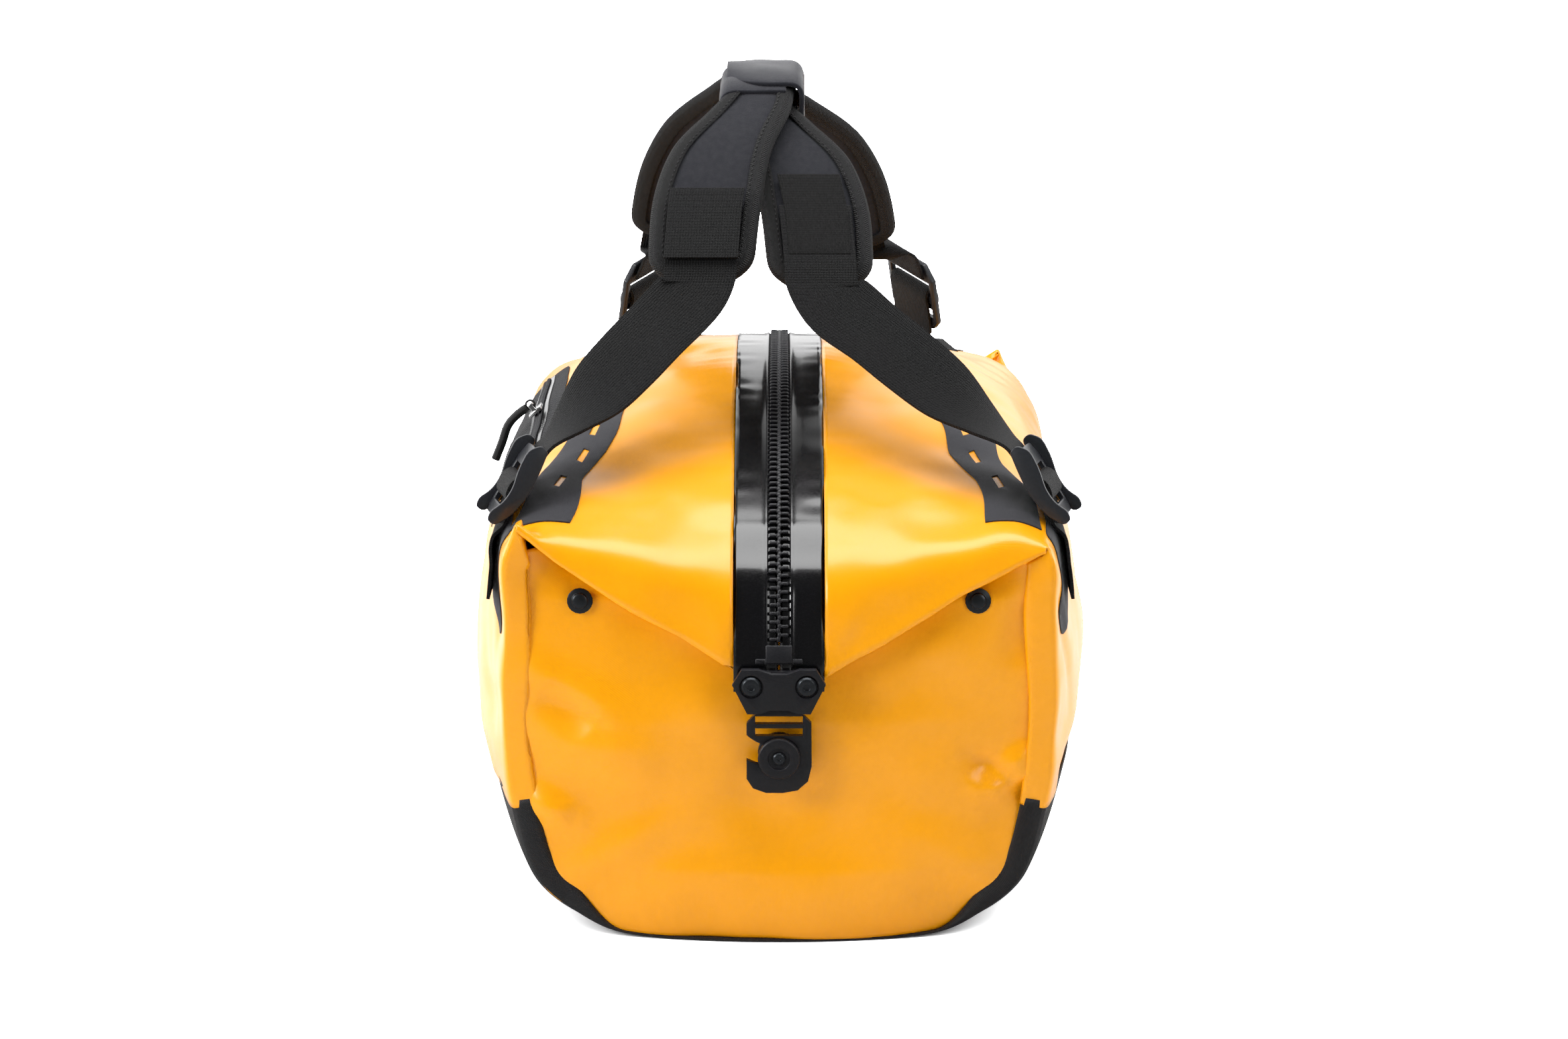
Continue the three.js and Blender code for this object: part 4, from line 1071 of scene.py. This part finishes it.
def seedMesh(length, width, height):
    bm = bmesh.new()
    bmesh.ops.create_icosphere(bm, subdivisions=1, radius=1)
    for v in bm.verts:
        v.co = (v.co.x * length / 2, v.co.y * width / 2, v.co.z * height / 2)
    mesh = meshFrom(bm, "seed")
    return mesh


def stitches(name, line, up, body, length=2.3, pitch=3.2, thick=0.64):
    places = []
    for p in evenly(line, pitch):
        j = int(np.argmin(np.linalg.norm(line - p, axis=1)))
        along = unit(line[min(len(line) - 1, j + 1)] - line[max(0, j - 1)])
        side = unit(cross(up[j], along))
        places.append(placeAt(p, along, side, cross(along, side)))
    thing = manyOf(name, seedMesh(length, thick, thick), places, "thread")
    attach(thing, body)
    return thing


lock = {
    "near": {"middle": [144.5, -178, 240], "down": [0.52, -0.18, -0.835], "across": [0.1, 0.98, 0.05]},
    "far": {"middle": [83, 141, 287], "down": [0.14, 0.28, -0.95], "across": [-0.5, 0.84, 0.1]},
}
lockLength, lockThickness, webHalf = 44, 3.6, 1.0
behind = -(lockThickness / 2 + 0.4 + webHalf)


def lockFrame(side, end):
    seat = {key: np.array(value, float) * np.array([side, 1, 1]) for key, value in lock[end].items()}
    down = unit(seat["down"])
    across = seat["across"] - down * (seat["across"] @ down)
    across = unit(across)
    out = unit(cross(across, down))
    if out[0] * side < 0:
        out = -out
    return seat["middle"], down, across, out


def lockPoint(f, d, n, a=0.0):
    return f[0] + f[1] * d + f[3] * n + f[2] * a


def upperFrames(side, end):
    pads = padFrames(side)
    if end == "far":
        pads = pads[::-1]
    lift = grip["thickness"] / 2 + 0.8 + webHalf
    rows = [(pads[i][0] + pads[i][3] * lift, pads[i][1], 20) for i in (2, 1, 0)]
    f = lockFrame(side, end)
    aim = unit(lockPoint(f, -lockLength / 2, behind) - pads[0][0])
    beyond = unit(unit(pads[0][0] - pads[1][0]) + aim * (2.5 if end == "near" else 0))
    run = unit(lockPoint(f, -7 - lockLength / 2, behind) - rows[2][0])
    facing = unit(cross(np.array([0, 1.0, 0]), run))
    facing = facing * np.sign(facing[0])
    slanted = unit(facing * 0.7 + np.array([0.4, 0, 0]) + f[2] * side * 0.35) if end == "near" else rows[2][1]
    rows += [(rows[2][0] + beyond * reach, slanted, 20) for reach in ((9,) if end == "near" else (7, 14))]
    wide = f[2] * (side if end == "near" else -side)
    reaches = [(-7, 1.5), (0, 0), (10, 0)] if end == "near" else [(-10, 5), (8, 0.8)]
    if end == "near":
        a, b = rows[-1][0], lockPoint(f, -7 - lockLength / 2, behind - 1.5)
        for t in (0.26, 0.45, 0.65, 0.84):
            turn = 0.6 * smoothstep(-0.3, 0.2, t) + (math.pi / 2 - 0.6) * smoothstep(0.5, 1.05, t)
            rows.append((a + (b - a) * t, facing * math.cos(turn) + wide * math.sin(turn), 20))
    rows += [(lockPoint(f, d - lockLength / 2, behind - slack), wide, 20) for d, slack in reaches]
    return rows


foldPoints = {"near": np.array([157.878, -186.478, 205.75]), "far": np.array([90.449, 162.043, 248.587])}


def tailFrames(side, end):
    f = lockFrame(side, end)
    loop = [(9, 0.2), (8.4, 2.4), (4.4, 4.2), (-0.6, 4.2), (-4.6, 2), (-5, -1), (-1.6, behind), (8, behind),
            (lockLength / 2 - 6, behind), (lockLength / 2 + 1, behind - 0.4)]
    rows = [(lockPoint(f, d, n), f[2], 20) for d, n in loop]
    start = foldPoints[end] * np.array([side, 1, 1])
    towards = unit(lockPoint(f, lockLength / 2, behind) - start)
    wide = unit(np.array([0, 1.0, 0]) if end == "near" else np.array([-side * 0.2, 0.975, 0]))
    rows += [(start + towards * 12, wide, 20), (start + towards * 5, wide, 20)]
    for down in (4, 10, 16, 22) if end == "near" else (5, 9, 13, 17):
        if end == "near":
            k = 6.6 - down / stationLength
            p, n = shellPoint(k, -186, side), shellNormal(k, -186, side)
        else:
            p, n = onTop(side * (90 + down * wide[1]), 160 - down * wide[0] * side)
        rows.append((settled(p, n, 2.9), wide, 20))
    return rows, start, towards


for side, word in ((-1, "left"), (1, "right")):
    body = word + "_strap"
    core = padCore(side, word)
    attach(core, body)
    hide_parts("shoulder_pad_" + word)
    binding = padBinding(side, word)
    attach(binding, body)
    line, out, up = padOutline(side, 6.9)
    stitches("pad_stitching_" + word, line + up * 4.75, up, body)
    for end in ("near", "far"):
        web = ribbonOf(f"strap_web_{end}_{word}", upperFrames(side, end), "webbing", 1.8)
        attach(web, body)
        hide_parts(f"strap_webbing_{end}_{word}")
        rows, start, towards = tailFrames(side, end)
        tail = ribbonOf(f"strap_tail_{end}_{word}", rows, "fineWebbing", 1.8, steps=110)
        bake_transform(tail)
        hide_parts(f"anchor_webbing_{end}_{word}", f"anchor_tab_{end}_{word}")
print("straps", flush=True)


# the curved cheeks of each lock, along and out from its middle
cheek = [
    (-25, -2.5), (-26, 2.5), (-20, 7.5), (-9, 6.8), (2, 4), (11, 4.4),
    (19, 8.2), (24, 7), (24, 2), (15, -3.2), (0, -5.6), (-13, -4.4),
]


def lockCheeks(side, end, word):
    f = lockFrame(side, end)
    bm = bmesh.new()
    reach = 2.4
    for start in (-26.6, 24.2):
        outline = roundedOutline(cheek, 5)
        face = bm.faces.new([bm.verts.new(Vector(lockPoint(f, d, n, start) * 0.001)) for d, n in outline])
        made = bmesh.ops.extrude_face_region(bm, geom=[face])
        moved = [v for v in made["geom"] if isinstance(v, bmesh.types.BMVert)]
        bmesh.ops.translate(bm, vec=Vector(f[2] * reach * 0.001), verts=moved)
    bmesh.ops.recalc_face_normals(bm, faces=list(bm.faces))
    sharp = [e for e in bm.edges if len(e.link_faces) == 2 and e.calc_face_angle() > 1.0]
    bmesh.ops.bevel(bm, geom=sharp, offset=0.0006, segments=2, profile=0.5, affect="EDGES", material=-1)
    mesh = meshFrom(bm, "lock_cheeks")
    thing = finished(f"lock_cheeks_{end}_{word}", mesh, "satin")
    mesh.set_sharp_from_angle(angle=math.radians(38))
    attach(thing, word + "_strap")


for side, word in ((-1, "left"), (1, "right")):
    lockCheeks(side, "near", word)


# ---- keepers and webbing ends sewn on the pads ----

def padPatch(name, side, s0, s1, half, look, lift, thickness):
    frames = padFrames(side)
    t = np.linspace(s0, s1, 14)
    centres = splined(np.array([f[0] for f in frames]), t)
    ups = unit(splined(np.array([f[3] for f in frames]), t))
    c = np.linspace(-1, 1, 9)
    xs = c * half
    grid = np.array([[p + np.array([x, 0, 0]) + u * lift for x in xs] for p, u in zip(centres, ups)])
    thing = sheetOf(name, grid, look)
    thicken(thing, thickness, 0.0)
    soften(thing, 0.45, 2, 50)
    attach(thing, handOf[side] + "_strap")
    return thing


padPatch("webbing_keeper_left", -1, 0.075, 0.175, 20.5, "webbing", 9.2, 1.8)
padPatch("webbing_end_right", 1, 0.10, 0.215, 17.5, "fineWebbing", 6.6, 1.6)
padPatch("webbing_keeper_far_left", -1, 0.83, 0.92, 20.5, "webbing", 9.2, 1.8)
padPatch("webbing_end_far_right", 1, 0.80, 0.90, 17.5, "fineWebbing", 6.6, 1.6)


# ---- the grip: a wrap round both pads, closed by a flap over the right side and the top ----

# An open line through the points with its corners rounded.
def roundedOpen(points, radius, steps=7):
    out = [np.array(points[0], float)]
    for i in range(1, len(points) - 1):
        a, b, c = (np.array(points[i + j - 1], float) for j in range(3))
        r = min(radius, np.linalg.norm(a - b) * 0.45, np.linalg.norm(c - b) * 0.45)
        p, q = b + (a - b) / np.linalg.norm(a - b) * r, b + (c - b) / np.linalg.norm(c - b) * r
        out += [p * (1 - t) ** 2 + 2 * b * t * (1 - t) + q * t ** 2 for t in np.linspace(0, 1, steps)]
    out.append(np.array(points[-1], float))
    dense = [out[0]]
    for a, b in zip(out[:-1], out[1:]):
        count = max(1, int(np.linalg.norm(b - a) / 2.5))
        dense += [a + (b - a) * (i + 1) / count for i in range(count)]
    return dense


def gripPiece(name, points, radius, halfAt, look, thickness, body):
    line = roundedOpen(points, radius)
    total = len(line)
    grid = []
    for i, (x, z) in enumerate(line):
        half, droop = halfAt(i / (total - 1))
        row = []
        for c in np.linspace(-1, 1, 17):
            row.append([grip["x"] + x, half * c, z + droop * abs(c) ** 3])
        grid.append(row)
    grid = np.array(grid)
    normals = gridNormals(grid)
    grid = roughened(grid, normals, 19, 0.8, 31)
    thing = sheetOf(name, grid, look)
    thicken(thing, thickness, 0.0)
    soften(thing, 0.9, 3, 50)
    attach(thing, body)
    return thing


wrap = gripPiece("grip_wrap_knit", [(21, 416.8), (-22.4, 416.8), (-22.4, 440.4), (14, 440.6)], 8,
                 lambda t: (44, -6), "wrapKnit", 2.8, "left_strap")
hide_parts("grip_wrap")
flap = gripPiece("grip_flap_knit", [(23, 417.2), (23, 443.6), (-20, 443.8)], 8,
                 lambda t: (41 - 20 * max(0, (t - 0.62) / 0.38) ** 2.2, -5), "wrapKnit", 2.8, "flap")
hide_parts("grip_flap")
print("grip", flush=True)


# ---- pocket on the left wall ----

def pocketPlace(u, v):
    return onWall(u, v, -1)


shape = roundedOutline([(248, -98), (318, -98), (318, 91), (248, 91)], 9)
panel = cutCloth("pocket_cloth", shape, [], pocketPlace, "pocket", 0.4, 1.1)
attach(panel, "bag")
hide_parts("pocket_panel")


def pocketCoil():
    places = []
    for y in np.arange(-91, 83, 1.5):
        for hand in (-1, 1):
            p, n = pocketPlace(300 + hand * 1.5, y + (0.75 if hand > 0 else 0))
            q, m = pocketPlace(300 + hand * 3.0, y)
            p, q = settled(p, n, 2.6), settled(q, m, 2.6)
            along = unit(q - p)
            side = unit(cross(n, along))
            places.append(placeAt(p, along, side, cross(along, side)))
    return manyOf("pocket_coil", seedMesh(3.8, 1.24, 1.8), places, "nylon")


coil = pocketCoil()
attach(coil, "bag")
shape = roundedOutline([(293.5, -94), (306.5, -94), (306.5, 86), (293.5, 86)], 3)
tape = cutCloth("pocket_zip_tape", shape, [], pocketPlace, "tape", 1.6, 0.5)
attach(tape, "bag")
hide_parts("pocket_zip")
print("pocket", flush=True)


# ---- camera, lights and floor ----

def stageSet():
    bpy.context.scene.view_settings.view_transform = "Standard"
    camera = bpy.data.objects.new("camera", bpy.data.cameras.new("camera"))
    bpy.context.scene.collection.objects.link(camera)
    camera.location = (0.0027, -2.35, 0.7687)
    camera.rotation_euler = (math.radians(90 - 14.2), 0, 0)
    camera.data.lens = 93.93
    camera.data.sensor_width = 36
    camera.data.clip_end = 30
    bpy.context.scene.camera = camera

    world = bpy.data.worlds.new("white studio")
    bpy.context.scene.world = world
    world.use_nodes = True
    tree = world.node_tree
    tree.nodes.clear()
    # the white wall behind the bag is bright, the room in front of it is dark
    around = add(tree, "TexCoord", {}, {}).outputs["Generated"]
    place = add(tree, "SeparateXYZ", {}, {"Vector": around})
    wall = add(tree, "MapRange", {"interpolation_type": "SMOOTHSTEP", "From Min": 0.45, "From Max": 0.95,
                                  "To Min": 0.08, "To Max": 1.5}, {0: place.outputs[1]})
    soft = add(tree, "Background", {"Color": (1, 1, 1, 1)}, {"Strength": wall.outputs[0]})
    seen = add(tree, "Background", {"Color": (1, 1, 1, 1), "Strength": 14.0}, {})
    path = add(tree, "LightPath", {}, {})
    mix = add(tree, "MixShader", {}, {0: path.outputs["Is Camera Ray"], 1: soft.outputs[0], 2: seen.outputs[0]})
    add(tree, "OutputWorld", {}, {"Surface": mix.outputs[0]})

    def panel(name, place, aim, width, height, power):
        lamp = bpy.data.lights.new(name, "AREA")
        lamp.shape = "RECTANGLE"
        lamp.size = width
        lamp.size_y = height
        lamp.energy = power
        thing = bpy.data.objects.new(name, lamp)
        bpy.context.scene.collection.objects.link(thing)
        thing.location = place
        thing.rotation_euler = (Vector(aim) - Vector(place)).to_track_quat("-Z", "Y").to_euler()

    panel("top softbox", (0, -0.15, 1.9), (0, -0.1, 0.2), 2.1, 1.1, 45)
    panel("left softbox", (-1.7, 0.5, 0.8), (0, 0, 0.15), 1.2, 1.4, 20)
    panel("right softbox", (1.7, 0.5, 0.8), (0, 0, 0.15), 1.2, 1.4, 20)
    panel("left fill", (-2.2, -1.25, 1.2), (0, 0, 0.2), 1.0, 1.0, 42)
    panel("right fill", (2.0, -2.0, 1.4), (0, 0, 0.2), 1.2, 1.2, 16)

    bm = bmesh.new()
    bmesh.ops.create_grid(bm, x_segments=1, y_segments=1, size=6)
    bmesh.ops.translate(bm, vec=(0, 0, -0.0006), verts=list(bm.verts))
    floorMesh = meshFrom(bm, "floor")
    floor = bpy.data.objects.new("floor", floorMesh)
    bpy.context.scene.collection.objects.link(floor)
    # white paper: to the camera it glows, burnt out away from the bag, with a painted contact shadow where
    # ambient occlusion dims the glow near the bag; to reflections it is painted dark grey in front of the bag
    # as painted shade
    material = bpy.data.materials.new("white paper sweep")
    material.use_nodes = True
    tree = material.node_tree
    tree.nodes.clear()
    paper = add(tree, "BsdfDiffuse", {"Color": (0.9, 0.9, 0.9, 1)}, {})
    # painted shade for reflections: glossy rays from in front of the bag see this dark grey floor
    dim = add(tree, "BsdfDiffuse", {"Color": (0.2, 0.2, 0.2, 1)}, {})
    # painted contact shadow: ambient occlusion darkens the floor's glow under and around the bag
    contactShadowOcclusion = add(tree, "AmbientOcclusion", {"Distance": 0.12}, {})
    shade = add(tree, "Math", {"operation": "POWER", 1: 2.2}, {0: contactShadowOcclusion.outputs["AO"]})
    lift = add(tree, "Math", {"operation": "MULTIPLY", 1: 12.0}, {0: shade.outputs[0]})
    glow = add(tree, "Emission", {}, {"Strength": lift.outputs[0]})
    both = add(tree, "AddShader", {}, {0: paper.outputs[0], 1: glow.outputs[0]})
    place = add(tree, "SeparateXYZ", {}, {"Vector": add(tree, "TexCoord", {}, {}).outputs["Object"]})
    nearer = add(tree, "Math", {"operation": "MULTIPLY", 1: -2.0}, {0: place.outputs[1]})
    shifted = add(tree, "Math", {"operation": "ADD", 1: 0.3}, {0: nearer.outputs[0]})
    inFront = add(tree, "MapRange", {}, {0: shifted.outputs[0]})
    path = add(tree, "LightPath", {}, {})
    glossy = {0: path.outputs["Is Glossy Ray"], 1: inFront.outputs[0]}
    reflected = add(tree, "Math", {"operation": "MULTIPLY"}, glossy)
    quiet = add(tree, "MixShader", {}, {0: reflected.outputs[0], 1: paper.outputs[0], 2: dim.outputs[0]})
    mix = add(tree, "MixShader", {}, {0: path.outputs["Is Camera Ray"], 1: quiet.outputs[0],
                                      2: both.outputs[0]})
    add(tree, "OutputMaterial", {}, {"Surface": mix.outputs[0]})
    floorMesh.materials.append(material)


stageSet()
